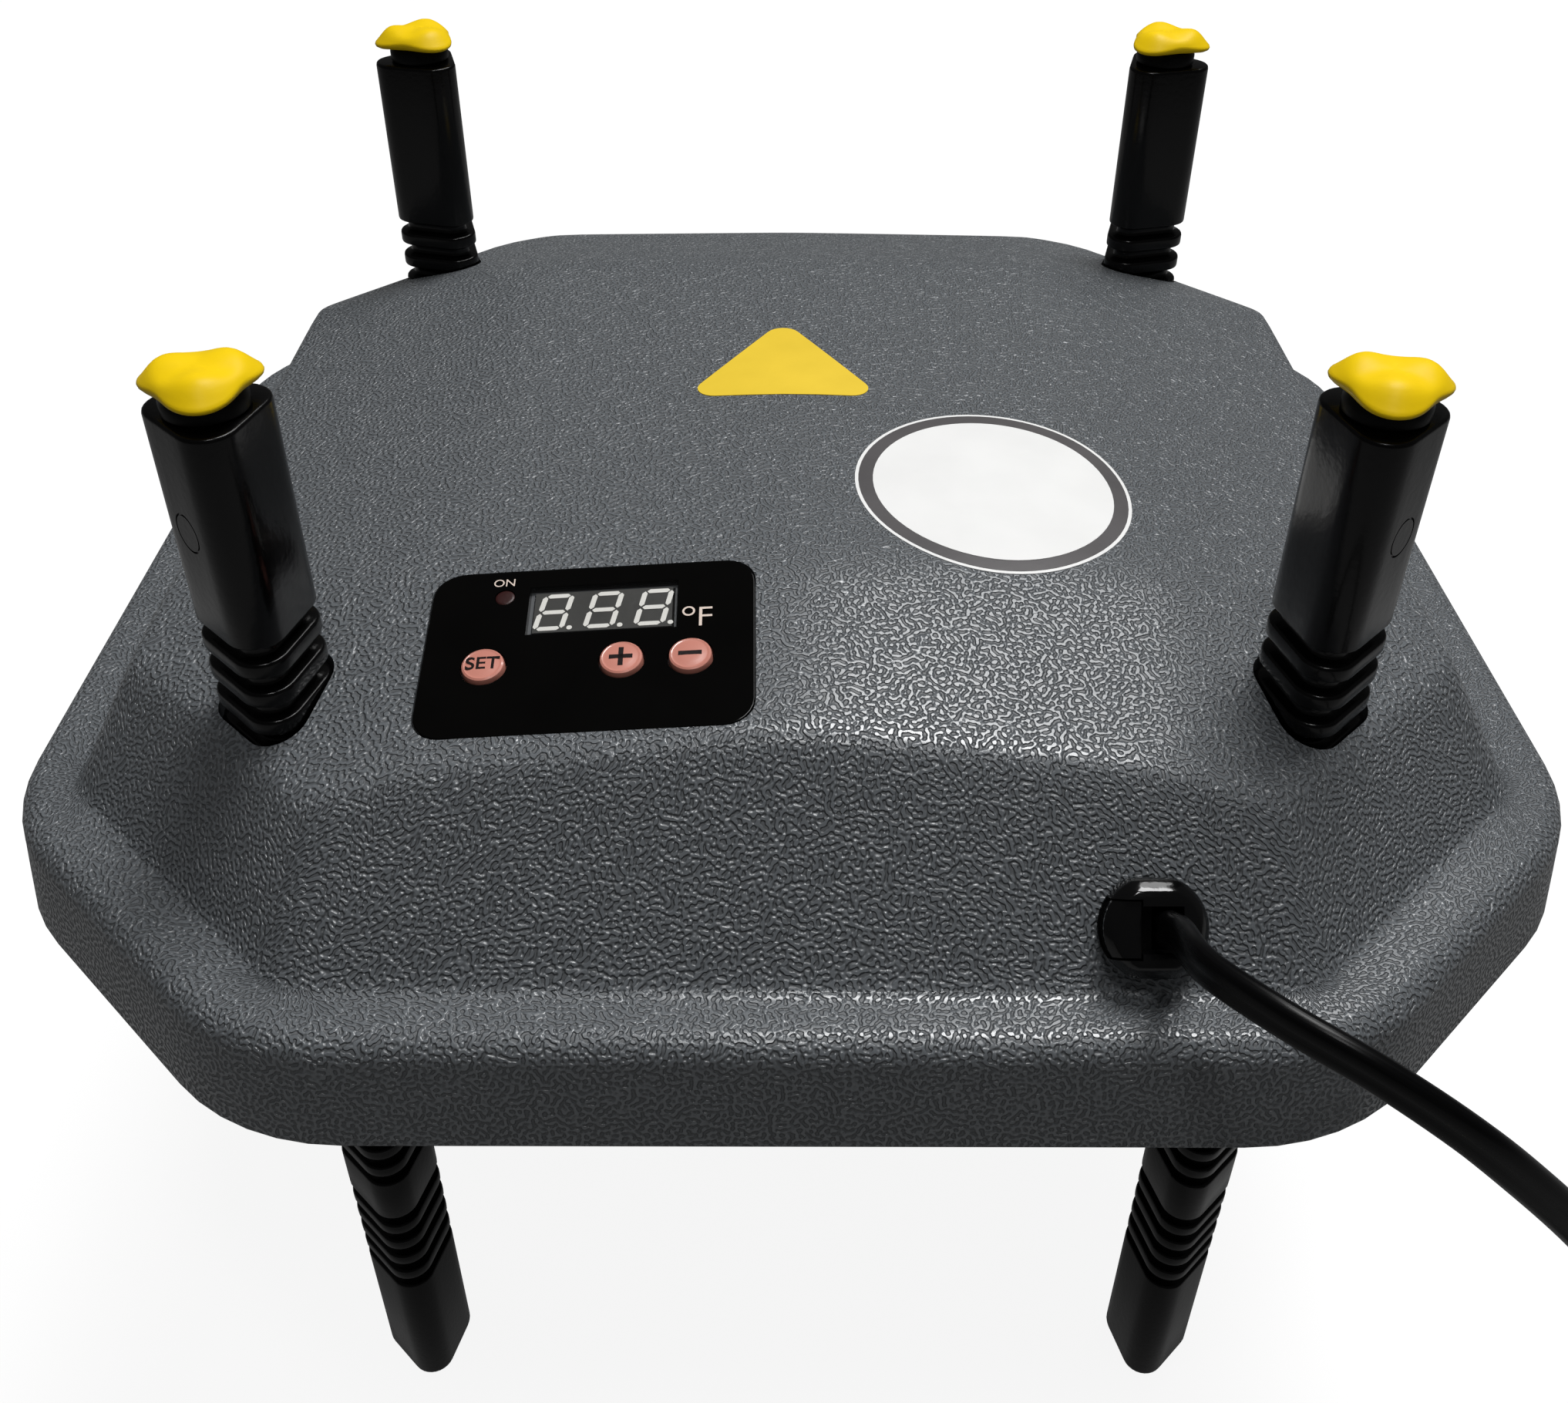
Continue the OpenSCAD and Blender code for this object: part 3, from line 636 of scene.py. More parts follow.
@dataclass(frozen=True)
class GrainedShell(Finish):
    """Moulded shell with a leather-like grain of short winding ridges, coloured darker in the grooves as painted
    shade and lighter on the ridges as painted highlight.
    """

    mottle_detail: float = 4.0
    bump_depth: float = 0.0003
    grain_scale: float = 60.0
    grain_pack: float = 1.6
    groove: float = 0.345
    ridge: float = 0.585
    groove_roughness: float = 0.55

    def pattern(self, tree: Tree, shader: Node) -> None:
        """Wire the winding grain, laid on the shell's flat map, with dull grooves and mottled gloss on the ridges,
        and with painted shade darkening the grooves and painted highlight lightening the ridges.

        Args:
            tree: the material's nodes.
            shader: its shader.
        """
        place = add_node(tree, "TexCoord")
        worm = add_node(tree, "TexGabor", Scale=self.grain_scale, Frequency=self.grain_pack, Anisotropy=0.0)
        worm.gabor_type = "2D"
        tree.links.new(place.outputs["UV"], worm.inputs["Vector"])
        lift = add_node(tree, "MapRange", From_Min=self.groove, From_Max=self.ridge)
        lift.interpolation_type = "SMOOTHSTEP"
        tree.links.new(worm.outputs["Value"], lift.inputs["Value"])
        # Painted shade and highlight: the colour follows the grain's height, darker in the grooves and lighter on
        # the ridges.
        self.tint(tree, lift.outputs["Result"], shader)
        self.relief(tree, lift.outputs["Result"], shader)
        cloud = self.noise(tree, place.outputs["Object"], self.mottle_scale, self.mottle_detail)
        dull = add_node(tree, "MapRange", To_Min=self.groove_roughness)
        tree.links.new(self.gloss(tree, cloud), dull.inputs["To Max"])
        tree.links.new(lift.outputs["Result"], dull.inputs["Value"])
        tree.links.new(dull.outputs["Result"], shader.inputs["Roughness"])


@dataclass(frozen=True)
class ClearWindow(Finish):
    """Clear window that still mirrors the room."""

    opacity: float = 0.06

    def pattern(self, tree: Tree, shader: Node) -> None:
        """Set a thin see-through body under a glossy face."""
        super().pattern(tree, shader)
        set_inputs(shader, Alpha=self.opacity)


@dataclass(frozen=True)
class FlexCord(Finish):
    """Soft PVC sheath with fine lines drawn along it."""

    bump_depth: float = 0.0002
    line_scale: float = 40.0
    line_stretch: Point = (0.02, 1.0, 1.0)

    def pattern(self, tree: Tree, shader: Node) -> None:
        """Stretch the noise along the cord's own length.

        Args:
            tree: the material's nodes.
            shader: its shader.
        """
        place = add_node(tree, "TexCoord")
        stretch = add_node(tree, "Mapping", Scale=self.line_stretch)
        tree.links.new(place.outputs["UV"], stretch.inputs["Vector"])
        line = self.noise(tree, stretch.outputs["Vector"], self.line_scale, self.bump_detail)
        self.tint(tree, line, shader)
        tree.links.new(self.gloss(tree, line), shader.inputs["Roughness"])
        self.relief(tree, line, shader)


class Palette:
    """All finishes of the part."""

    # On the shell the spread of the colour paints shade into the grain's grooves and highlight onto its ridges.
    SHELL = GrainedShell("charcoal_grained_shell", (0.109, 0.1178, 0.1265), roughness=0.24, mottle_and_groove_shade=0.27,
                         mottle_scale=60.0, bump=1.0, specular=0.8)
    BASE = Finish("dark_base_plate", (0.035, 0.036, 0.039), 0.5)
    LEG = Finish("black_leg_plastic", (0.0018, 0.0017, 0.0018), 0.2, mottle_and_groove_shade=0.2, bump=0.08, specular=0.3)
    NECK = Finish("black_neck_plastic", (0.003, 0.003, 0.0032), 0.4, specular=0.15)
    CAP = Finish("yellow_cap_plastic", (0.92, 0.625, 0.004), 0.4, mottle_and_groove_shade=0.04, bump=0.04, specular=0.14)
    PANEL = Finish("gloss_black_panel", (0.0018, 0.0017, 0.0016), 0.12, bump=0.01, specular=0.13)
    WINDOW = ClearWindow("clear_display_window", (0.03, 0.03, 0.03), 0.05, bump=0.0, specular=0.3)
    DISPLAY = Finish("grey_display_face", (0.055, 0.055, 0.052), 0.4, mottle_and_groove_shade=0.15, specular=0.3)
    SEGMENT = Finish("pale_display_segments", (0.88, 0.87, 0.82), 0.45, mottle_and_groove_shade=0.03)
    LAMP = Finish("dull_red_lamp", (0.03, 0.008, 0.0075), 0.35, mottle_and_groove_shade=0.1, specular=0.3)
    BUTTON = Finish("salmon_button", (0.66, 0.26, 0.2), 0.3, mottle_and_groove_shade=0.06, bump=0.02, coat=1.0)
    LEGEND = Finish("pale_panel_legend", (0.72, 0.6, 0.52), 0.5, mottle_and_groove_shade=0.04)
    KEY_MARK = Finish("dark_button_mark", (0.009, 0.004, 0.004), 0.5, specular=0.15)
    BUSHING = Finish("black_bushing_plastic", (0.0025, 0.0025, 0.0027), 0.14, specular=0.35, coat=0.3)
    CORD = FlexCord("black_cord_sheath", (0.0022, 0.0022, 0.0024), 0.28, mottle_and_groove_shade=0.2, bump=0.12, specular=0.16)
    TIE = Finish("black_tie_strap", (0.012, 0.012, 0.013), 0.5)
    BLADE = Finish("plated_blade", (0.62, 0.56, 0.42), 0.28, metallic=1.0)
    STEEL = Finish("plated_steel", (0.55, 0.55, 0.55), 0.35, metallic=1.0)
    FOIL = Finish("rolled_foil", (0.75, 0.75, 0.76), 0.3, metallic=1.0)
    MAT = Finish("rust_heating_mat", (0.42, 0.1, 0.035), 0.6, bump=0.25, bump_scale=500.0)
    FELT = Finish("pale_insulation_felt", (0.62, 0.56, 0.42), 0.95, mottle_and_groove_shade=0.2, bump=0.6, bump_scale=700.0)
    SENSOR = Finish("brown_sensor_case", (0.12, 0.08, 0.06), 0.5)
    BOARD = Finish("green_circuit_board", (0.015, 0.11, 0.04), 0.35)
    COMPONENT = Finish("dark_component_case", (0.03, 0.035, 0.06), 0.45)
    WIRE = Finish("white_wire", (0.72, 0.72, 0.7), 0.5)
    GUIDE = Finish("dark_leg_guide", (0.03, 0.03, 0.032), 0.45)
    STICKER_YELLOW = Finish("yellow_sticker", (0.84, 0.59, 0.04), 0.42, mottle_and_groove_shade=0.04, bump=0.05, specular=0.3)
    STICKER_WHITE = Finish("white_sticker", (0.84, 0.84, 0.83), 0.45, mottle_and_groove_shade=0.02, bump=0.04)
    STICKER_GREY = Finish("dark_sticker_ring", (0.075, 0.07, 0.072), 0.42, mottle_and_groove_shade=0.08, bump=0.06)


# Studio


@dataclass(frozen=True)
class Lamp:
    """Soft square lamp; place and size in metres."""

    name: str
    place: Point
    size: float
    watts: float

    def build(self, aim: Point) -> None:
        """Hang the lamp and point it.

        Args:
            aim: point that it looks at.
        """
        data = bpy.data.lights.new(self.name, "AREA")
        data.energy = self.watts
        data.size = self.size
        obj = bpy.data.objects.new(self.name, data)
        obj.location = self.place
        obj.rotation_euler = (Vector(aim) - Vector(self.place)).to_track_quat("-Z", "Y").to_euler()
        bpy.context.collection.objects.link(obj)


@dataclass
class Studio:
    """Camera, lamps, floor and backdrop."""

    pitch: float = 37.957
    yaw: float = 0.212
    roll: float = -0.303
    eye: Point = (-1.738, -259.98, 315.08)
    focal_px: float = 2064.35
    centre_px: Plan = (1020.58, 911.6)
    image_px: Plan = (2034.0, 1820.0)
    sensor: float = 36.0
    near: float = 0.01
    lamps: Tuple[Lamp, ...] = (Lamp("overhead_lamp", (0.25, 0.27, 1.58), 0.55, 14.8),
                               Lamp("back_lamp", (0.46, 0.72, 1.42), 0.55, 5.0),
                               Lamp("front_lamp", (0.04, -0.42, 1.25), 0.16, 1.8))
    aim: Point = (0.0, 0.0, 0.15)
    fill: float = 0.14
    mirror_fill: float = 0.05
    floor_size: float = 6.0
    floor_drop: float = 0.0006
    floor_colour: Tuple[float, float, float, float] = (0.14, 0.14, 0.14, 1.0)
    floor_roughness: float = 0.85
    floor_mirror: float = 0.1
    floor_white: float = 0.9
    fade: Plan = (0.5, 2.0)

    def camera(self) -> None:
        """Set the camera at the photograph's place, angle and lens."""
        pitch, yaw, roll = (math.radians(a) for a in (self.pitch, self.yaw, self.roll))
        ahead = Vector((math.sin(yaw) * math.cos(pitch), math.cos(yaw) * math.cos(pitch), -math.sin(pitch)))
        right = Vector((math.cos(yaw), -math.sin(yaw), 0.0))
        down = ahead.cross(right)
        across = math.cos(roll) * right + math.sin(roll) * down
        below = -math.sin(roll) * right + math.cos(roll) * down
        width, height = self.image_px
        data = bpy.data.cameras.new("camera")
        data.sensor_fit = "HORIZONTAL"
        data.sensor_width = self.sensor
        data.lens = self.focal_px * self.sensor / width
        data.shift_x = (width / 2 - self.centre_px[0]) / width
        data.shift_y = (self.centre_px[1] - height / 2) / width
        data.clip_start = self.near
        obj = bpy.data.objects.new("camera", data)
        bpy.context.collection.objects.link(obj)
        turn = Matrix((across, -below, -ahead)).transposed()
        obj.matrix_world = Matrix.Translation(Vector(self.eye) * MM) @ turn.to_4x4()
        bpy.context.scene.camera = obj

    def world(self) -> None:
        """Put even pale surroundings round the part."""
        world = bpy.data.worlds.new("surroundings")
        bpy.context.scene.world = world
        world.use_nodes = True
        back = set_inputs(world.node_tree.nodes["Background"], Color=WHITE)
        self.show_white(world.node_tree, back.inputs["Strength"], self.fill, self.mirror_fill, 1.0)

    def show_white(self, tree: Tree, socket: Socket, fill: float, mirror: float, white: float) -> Node:
        """Set a strength by who looks.

        Args:
            tree: node tree of the world or the floor.
            socket: strength to drive.
            fill: strength as a light on the part.
            mirror: strength in glossy surfaces.
            white: strength for the camera and through clear windows.

        Returns:
            The node that picks what the camera sees.
        """
        path = add_node(tree, "LightPath")
        last = None
        for ray, level in (("Is Glossy Ray", mirror), ("Is Transmission Ray", white), ("Is Camera Ray", white)):
            choice = add_node(tree, "Mix", A=fill, B=level)
            tree.links.new(path.outputs[ray], choice.inputs["Factor"])
            if last:
                tree.links.new(last.outputs["Result"], choice.inputs["A"])
            last = choice
        tree.links.new(last.outputs["Result"], socket)
        return last

    def floor(self) -> None:
        """Lay a pale floor that keeps a soft shadow and fades into the backdrop."""
        deselect()
        bpy.ops.mesh.primitive_plane_add(size=self.floor_size, location=(0.0, 0.0, -self.floor_drop))
        obj = bpy.context.active_object
        obj.name = "floor"
        made, shader = add_material("pale_floor", Base_Color=self.floor_colour, Roughness=self.floor_roughness,
                                    Emission_Color=WHITE)
        tree = made.node_tree
        seen = self.show_white(tree, shader.inputs["Emission Strength"], 0.0, self.floor_mirror, self.floor_white)
        place = add_node(tree, "TexCoord")
        reach = add_node(tree, "VectorMath")
        reach.operation = "LENGTH"
        fade = add_node(tree, "MapRange", From_Min=self.fade[0], From_Max=self.fade[1], To_Min=self.floor_white,
                        To_Max=1.0)
        tree.links.new(place.outputs["Object"], reach.inputs[0])
        tree.links.new(reach.outputs["Value"], fade.inputs["Value"])
        tree.links.new(fade.outputs["Result"], seen.inputs["B"])
        obj.data.materials.append(made)

    def build(self) -> None:
        """Set the camera first, then light and floor."""
        self.camera()
        for lamp in self.lamps:
            lamp.build(self.aim)
        self.world()
        self.floor()
        bpy.context.scene.view_settings.view_transform = "Standard"


# Housing


def soft_min(values: Sequence[float], blend: float) -> float:
    """Least of the values, rounded where two of them meet."""
    least = min(values)
    return least - blend * math.log(sum(math.exp((least - v) / blend) for v in values))


@dataclass
class Dome:
    """Height of the housing's top over its ledge."""

    half: float = 113.0
    chamfer: float = 42.0
    ledge: float = 150.0
    ridge: float = 34.6
    ridge_round: float = 6.0
    crease_x: float = 54.0
    crease_y: float = 56.4
    pad_slope: float = math.tan(math.radians(12.0))
    front_slope: float = math.tan(math.radians(4.0))
    back_slope: float = math.tan(math.radians(1.0))
    strip_slope: float = math.tan(math.radians(13.0))
    wall_run: float = math.tan(math.radians(39.0))
    flank_run: float = math.tan(math.radians(29.0))
    corner_run: float = 0.72
    crease_blend: float = 0.45
    corner_blend: float = 1.0
    brow_blend: float = 0.85
    foot_blend: float = 0.55
    brow_reach: float = 0.6
    halvings: int = 40

    def roof(self, x: float, y: float) -> float:
        """Height of the roof planes alone.

        Args:
            x: place across the plate.
            y: place along the plate.

        Returns:
            The height over the ledge.
        """
        share = min(1.0, max(0.0, (y + self.crease_y) / (2 * self.crease_y)))
        slope = self.front_slope + (self.back_slope - self.front_slope) * share
        across = soft_min((0.0, -(abs(x) - self.crease_x) * (self.strip_slope - slope)), self.crease_blend)
        along = soft_min((0.0, -(abs(y) - self.crease_y) * self.pad_slope), self.crease_blend)
        peak = math.hypot(x, self.ridge_round) - self.ridge_round
        return self.ridge - slope * peak + across + along

    def walls(self, x: float, y: float) -> float:
        """Height of the wall planes alone.

        Args:
            x: place across the plate.
            y: place along the plate.

        Returns:
            The height over the ledge.
        """
        corner = (2 * self.half - self.chamfer - abs(x) - abs(y)) / math.sqrt(2)
        return soft_min(((self.half - abs(y)) / self.wall_run, (self.half - abs(x)) / self.flank_run,
                         corner / self.corner_run), self.corner_blend)

    def rise(self, x: float, y: float) -> float:
        """Height of the surface, with round brows and a soft foot."""
        top = soft_min((self.roof(x, y), self.walls(x, y)), self.brow_blend)
        return self.ledge - soft_min((0.0, -top), self.foot_blend)

    def laid(self, plan: Sequence[Plan], lift: float = 0.0) -> Ring:
        """Points of a plan laid on the surface, or lifted off it."""
        return [(x, y, self.rise(x, y) + lift) for x, y in plan]

    def brow(self, foot: Plan) -> Plan:
        """Find where the wall above a foot point meets the roof, on the way to the middle.

        Args:
            foot: point at the foot of the wall.

        Returns:
            The point under the brow.
        """
        low, high = 0.0, self.brow_reach
        for _ in range(self.halvings):
            mid = (low + high) / 2
            x, y = foot[0] * (1 - mid), foot[1] * (1 - mid)
            if self.walls(x, y) < self.roof(x, y):
                low = mid
            else:
                high = mid
        return foot[0] * (1 - low), foot[1] * (1 - low)


@dataclass
class Pad:
    """Sloped pad that carries the control panel."""

    x: float = -29.9
    y: float = -72.6
    fall: float = 12.0
    lean: float = -4.0
    height: float = 179.067

    def frame(self) -> Matrix:
        """Place of the panel's own frame, in metres."""
        turn = Matrix.Rotation(math.radians(self.lean), 4, "Y") @ Matrix.Rotation(math.radians(self.fall), 4, "X")
        return Matrix.Translation(Vector((self.x, self.y, self.height)) * MM) @ turn


@dataclass
class CordExit:
    """Place on the front wall where the cord leaves through its bushing."""

    at: Point = (48.6, -107.244, 157.426)
    tilt: float = 51.0

    def frame(self) -> Matrix:
        """Place of the bushing's own frame, with its Z out of the wall, in metres."""
        turn = Matrix.Rotation(math.radians(self.tilt), 4, "X")
        return Matrix.Translation(Vector(self.at) * MM) @ turn

    def out(self) -> Vector:
        """Direction out of the wall."""
        a = math.radians(90.0 - self.tilt)
        return Vector((0.0, -math.cos(a), math.sin(a)))


@dataclass
class Housing:
    """Shell with skirt, ledge and dome."""

    half: float = 125.0
    chamfer: float = 48.0
    chamfer_inset: float = 0.586
    corner: float = 36.0
    low: float = 132.0
    draft: float = 1.8
    edge: float = 4.0
    wall: float = 2.5
    skirt_foot: Tuple[Plan, ...] = ((-0.5, 0.0), (-0.1, 0.2), (0.0, 0.7), (-1.1, 9.0))
    ledge_inset: Point = (1.0, 4.0, 6.8)
    ledge_shares: Tuple[float, ...] = (0.35, 0.6, 0.85)
    foot_corner: float = 13.0
    past_brow: Tuple[float, ...] = (1.03, 1.07, 1.13, 1.2, 1.28)
    bushing_hole: Tuple[Plan, Plan] = ((6.0, -12.0), (6.0, 8.0))
    crisp: float = 28.0
    eighth: float = 45.0
    side_steps: int = 22
    cut_steps: int = 10
    arc_steps: int = 6
    rim_steps: int = 7
    wall_steps: int = 12
    roof_steps: int = 27
    map_scale: float = 0.01
    dome: Dome = field(default_factory=Dome)
    pad: Pad = field(default_factory=Pad)
    cord_exit: CordExit = field(default_factory=CordExit)

    def outline(self, half: float, chamfer: float, corner: float) -> List[Plan]:
        """Square with cut, rounded corners, with the same count of points for every size.

        Args:
            half: half of its width.
            chamfer: how much of each side a cut takes.
            corner: radius of the bends.

        Returns:
            The outline.
        """
        rest = half - chamfer
        sharp = ((half, -rest), (half, rest), (rest, half), (-rest, half),
                 (-half, rest), (-half, -rest), (-rest, -half), (rest, -half))
        reach = corner / math.cos(math.radians(self.eighth / 2))
        bends = []
        for i, (x, y) in enumerate(sharp):
            middle = math.radians(self.eighth * (i - 0.5))
            centre = (x - reach * math.cos(middle), y - reach * math.sin(middle))
            bends.append(arc(centre, corner, self.eighth * (i - 1), self.eighth, self.arc_steps))
        return closed_run(bends, (self.side_steps, self.cut_steps))

    def skirt_rings(self) -> List[Ring]:
        """Draw the upright skirt and its rounded rim.

        Returns:
            Rings from the foot to the ledge.
        """
        rim, top = self.half - self.draft, self.dome.ledge
        levels = [(self.half + step, self.low + up) for step, up in self.skirt_foot]
        levels += [(rim - inset, top - drop) for inset, drop in round_edge(self.edge, self.rim_steps)]
        rings: List[Ring] = []
        for half, z in levels:
            inset = self.half - half
            plan = self.outline(half, self.chamfer - self.chamfer_inset * inset, self.corner - inset)
            rings.append([(x, y, z) for x, y in plan])
        return rings

    def dome_rings(self) -> List[Ring]:
        """Draw the ledge, soft foot, walls, brows and roof.

        Returns:
            Rings from the ledge to the middle of the roof.
        """
        dome = self.dome
        inset, chamfer_inset, corner_inset = self.ledge_inset
        ledge = self.outline(self.half - self.draft - self.edge - inset, self.chamfer - chamfer_inset,
                             self.corner - corner_inset)
        foot = self.outline(dome.half, dome.chamfer, self.foot_corner)
        brow = [dome.brow(p) for p in foot]
        climb = [0.5 - 0.5 * math.cos(math.pi * i / self.wall_steps) for i in range(self.wall_steps + 1)]
        plans = [[between(a, b, share) for a, b in zip(ledge, foot)] for share in self.ledge_shares]
        plans += [[between(a, b, share) for a, b in zip(foot, brow)] for share in (*climb, *self.past_brow)]
        last = plans[-1]
        for i in range(1, self.roof_steps):
            keep = 1 - i / self.roof_steps
            plans.append([(x * keep, y * keep) for x, y in last])
        return [dome.laid(plan) for plan in plans]

    def shell(self) -> Piece:
        """Pull the outer skin and thicken it inwards.

        Returns:
            The shell, without its openings.
        """
        skirt, dome = self.skirt_rings(), self.dome_rings()
        foot = len(skirt) + len(self.ledge_shares)
        obj = loft("housing_shell", skirt + dome, start=False)
        add_modifier(obj, "SOLIDIFY", thickness=self.wall * MM, offset=-1.0, use_even_offset=False)
        self.lay_flat(obj, skirt + dome, foot, foot + self.wall_steps)
        return obj

    def lay_flat(self, obj: Piece, rings: Sequence[Ring], foot: int, roof: int) -> None:
        """Give the shell a map in decimetres: along and up its sides, level on the roof.

        Args:
            obj: shell, its points still ring by ring.
            rings: rings that it was pulled through.
            foot: first ring of the dome's wall.
            roof: first ring of the roof.
        """
        count, total = len(rings[0]), len(rings) * len(rings[0])
        climb = [[0.0] * count]
        for low, high in zip(rings, rings[1:]):
            climb.append([c + math.dist(a, b) for c, a, b in zip(climb[-1], low, high)])
        along: Dict[bool, List[float]] = {}
        for wall, ring in ((False, rings[0]), (True, rings[(foot + roof) // 2])):
            along[wall] = [0.0]
            for a, b in zip(ring, ring[1:] + ring[:1]):
                along[wall].append(along[wall][-1] + math.dist(a, b))
        layer = obj.data.uv_layers.active
        for poly in obj.data.polygons:
            spots = [divmod(v % total, count) for v in poly.vertices]
            lowest = min(ring for ring, _ in spots)
            wraps = {0, count - 1} <= {k for _, k in spots}
            for loop, (ring, k) in zip(poly.loop_indices, spots):
                if lowest >= roof:
                    place = rings[ring][k][:2]
                else:
                    place = (along[lowest >= foot][count if wraps and k == 0 else k], climb[ring][k])
                layer.data[loop].uv = (place[0] * self.map_scale, place[1] * self.map_scale)

    def build(self, legs: "Legs", panel: "Panel") -> None:
        """Make the shell with all its openings.

        Args:
            legs: legs that pass through it.
            panel: panel that sits in it.
        """
        obj = self.shell()
        cut(obj, *[legs.hole(corner) for corner in Corner])
        cut(obj, *[settle(tool, self.pad.frame()) for tool in panel.openings()])
        cut(obj, settle(revolve("bushing_hole", self.bushing_hole), self.cord_exit.frame()))
        dress(smooth(obj, self.crisp), Palette.SHELL, PLATE, "housing", "top_housing")


@dataclass
class Stickers:
    """Blank yellow triangle and blank white oval with a dark ring, as films on the roof."""

    triangle: Tuple[Plan, Plan, Plan] = ((-19.4, -3.8), (15.9, -3.8), (-1.8, 26.6))
    triangle_at: Plan = (-1.8, 6.4)
    triangle_corner: float = 3.2
    triangle_lift: float = 0.12
    triangle_shares: Tuple[float, ...] = (1.0, 0.995, 0.75, 0.5, 0.25, 0.05)
    oval_at: Plan = (32.6, -33.4)
    oval_reach: Plan = (22.6, 24.4)
    oval_shares: Tuple[float, ...] = (1.0, 0.995, 0.8, 0.5, 0.25, 0.03)
    sink: float = 0.3
    crisp: float = 40.0
    corner_steps: int = 8
    run_steps: int = 4
    oval_steps: int = 72
    dome: Dome = field(default_factory=Dome)

    def film(self, name: str, outline: List[Plan], centre: Plan, shares: Sequence[float], lift: float) -> Piece:
        """Lay a thin film on the roof.

        Args:
            name: name of the film.
            outline: its edge.
            centre: point that its rings shrink to.
            shares: sizes of its rings, from the edge inwards.
            lift: height of its face over the roof.

        Returns:
            The film.
        """
        edges = [[between(centre, p, share) for p in outline] for share in shares]
        rings = [self.dome.laid(edges[0], -self.sink)] + [self.dome.laid(edge, lift) for edge in edges]
        return smooth(loft(name, rings), self.crisp)

    def rounded_triangle(self) -> List[Plan]:
        """Round the triangle's corners and part its sides.

        Returns:
            The outline.
        """
        soft = self.triangle_corner
        bends: List[Plan] = []
        for i, corner in enumerate(self.triangle):
            here, before, after = Vector(corner), Vector(self.triangle[i - 1]), Vector(self.triangle[(i + 1) % 3])
            a, b = (before - here).normalized(), (after - here).normalized()
            half = a.angle(b) / 2
            middle = here + (a + b).normalized() * (soft / math.sin(half))
            first = here + a * (soft / math.tan(half))
            start = math.degrees(math.atan2(first.y - middle.y, first.x - middle.x))
            bends += arc((middle.x, middle.y), soft, start, 180.0 - 2 * math.degrees(half), self.corner_steps)
        out: List[Plan] = []
        for here, after in zip(bends, bends[1:] + bends[:1]):
            out += [between(here, after, k / self.run_steps) for k in range(self.run_steps)]
        return out

    def build(self) -> None:
        """Lay all films on the roof."""
        triangle = self.film("triangle_sticker", self.rounded_triangle(), self.triangle_at, self.triangle_shares,
                             self.triangle_lift)
        dress(triangle, Palette.STICKER_YELLOW, PLATE, "cap")
        turn = 2 * math.pi / self.oval_steps
        oval = [(self.oval_at[0] + self.oval_reach[0] * math.cos(k * turn),
                 self.oval_at[1] + self.oval_reach[1] * math.sin(k * turn)) for k in range(self.oval_steps)]
        for name, finish, slot, share, lift in (("oval_sticker_edge", Palette.STICKER_WHITE, "wire", 1.0, 0.1),
                                                ("oval_sticker_ring", Palette.STICKER_GREY, "leg", 0.975, 0.14),
                                                ("oval_sticker_face", Palette.STICKER_WHITE, "wire", 0.87, 0.18)):
            shares = [share * k for k in self.oval_shares]
            dress(self.film(name, oval, self.oval_at, shares, lift), finish, PLATE, slot)


# Legs


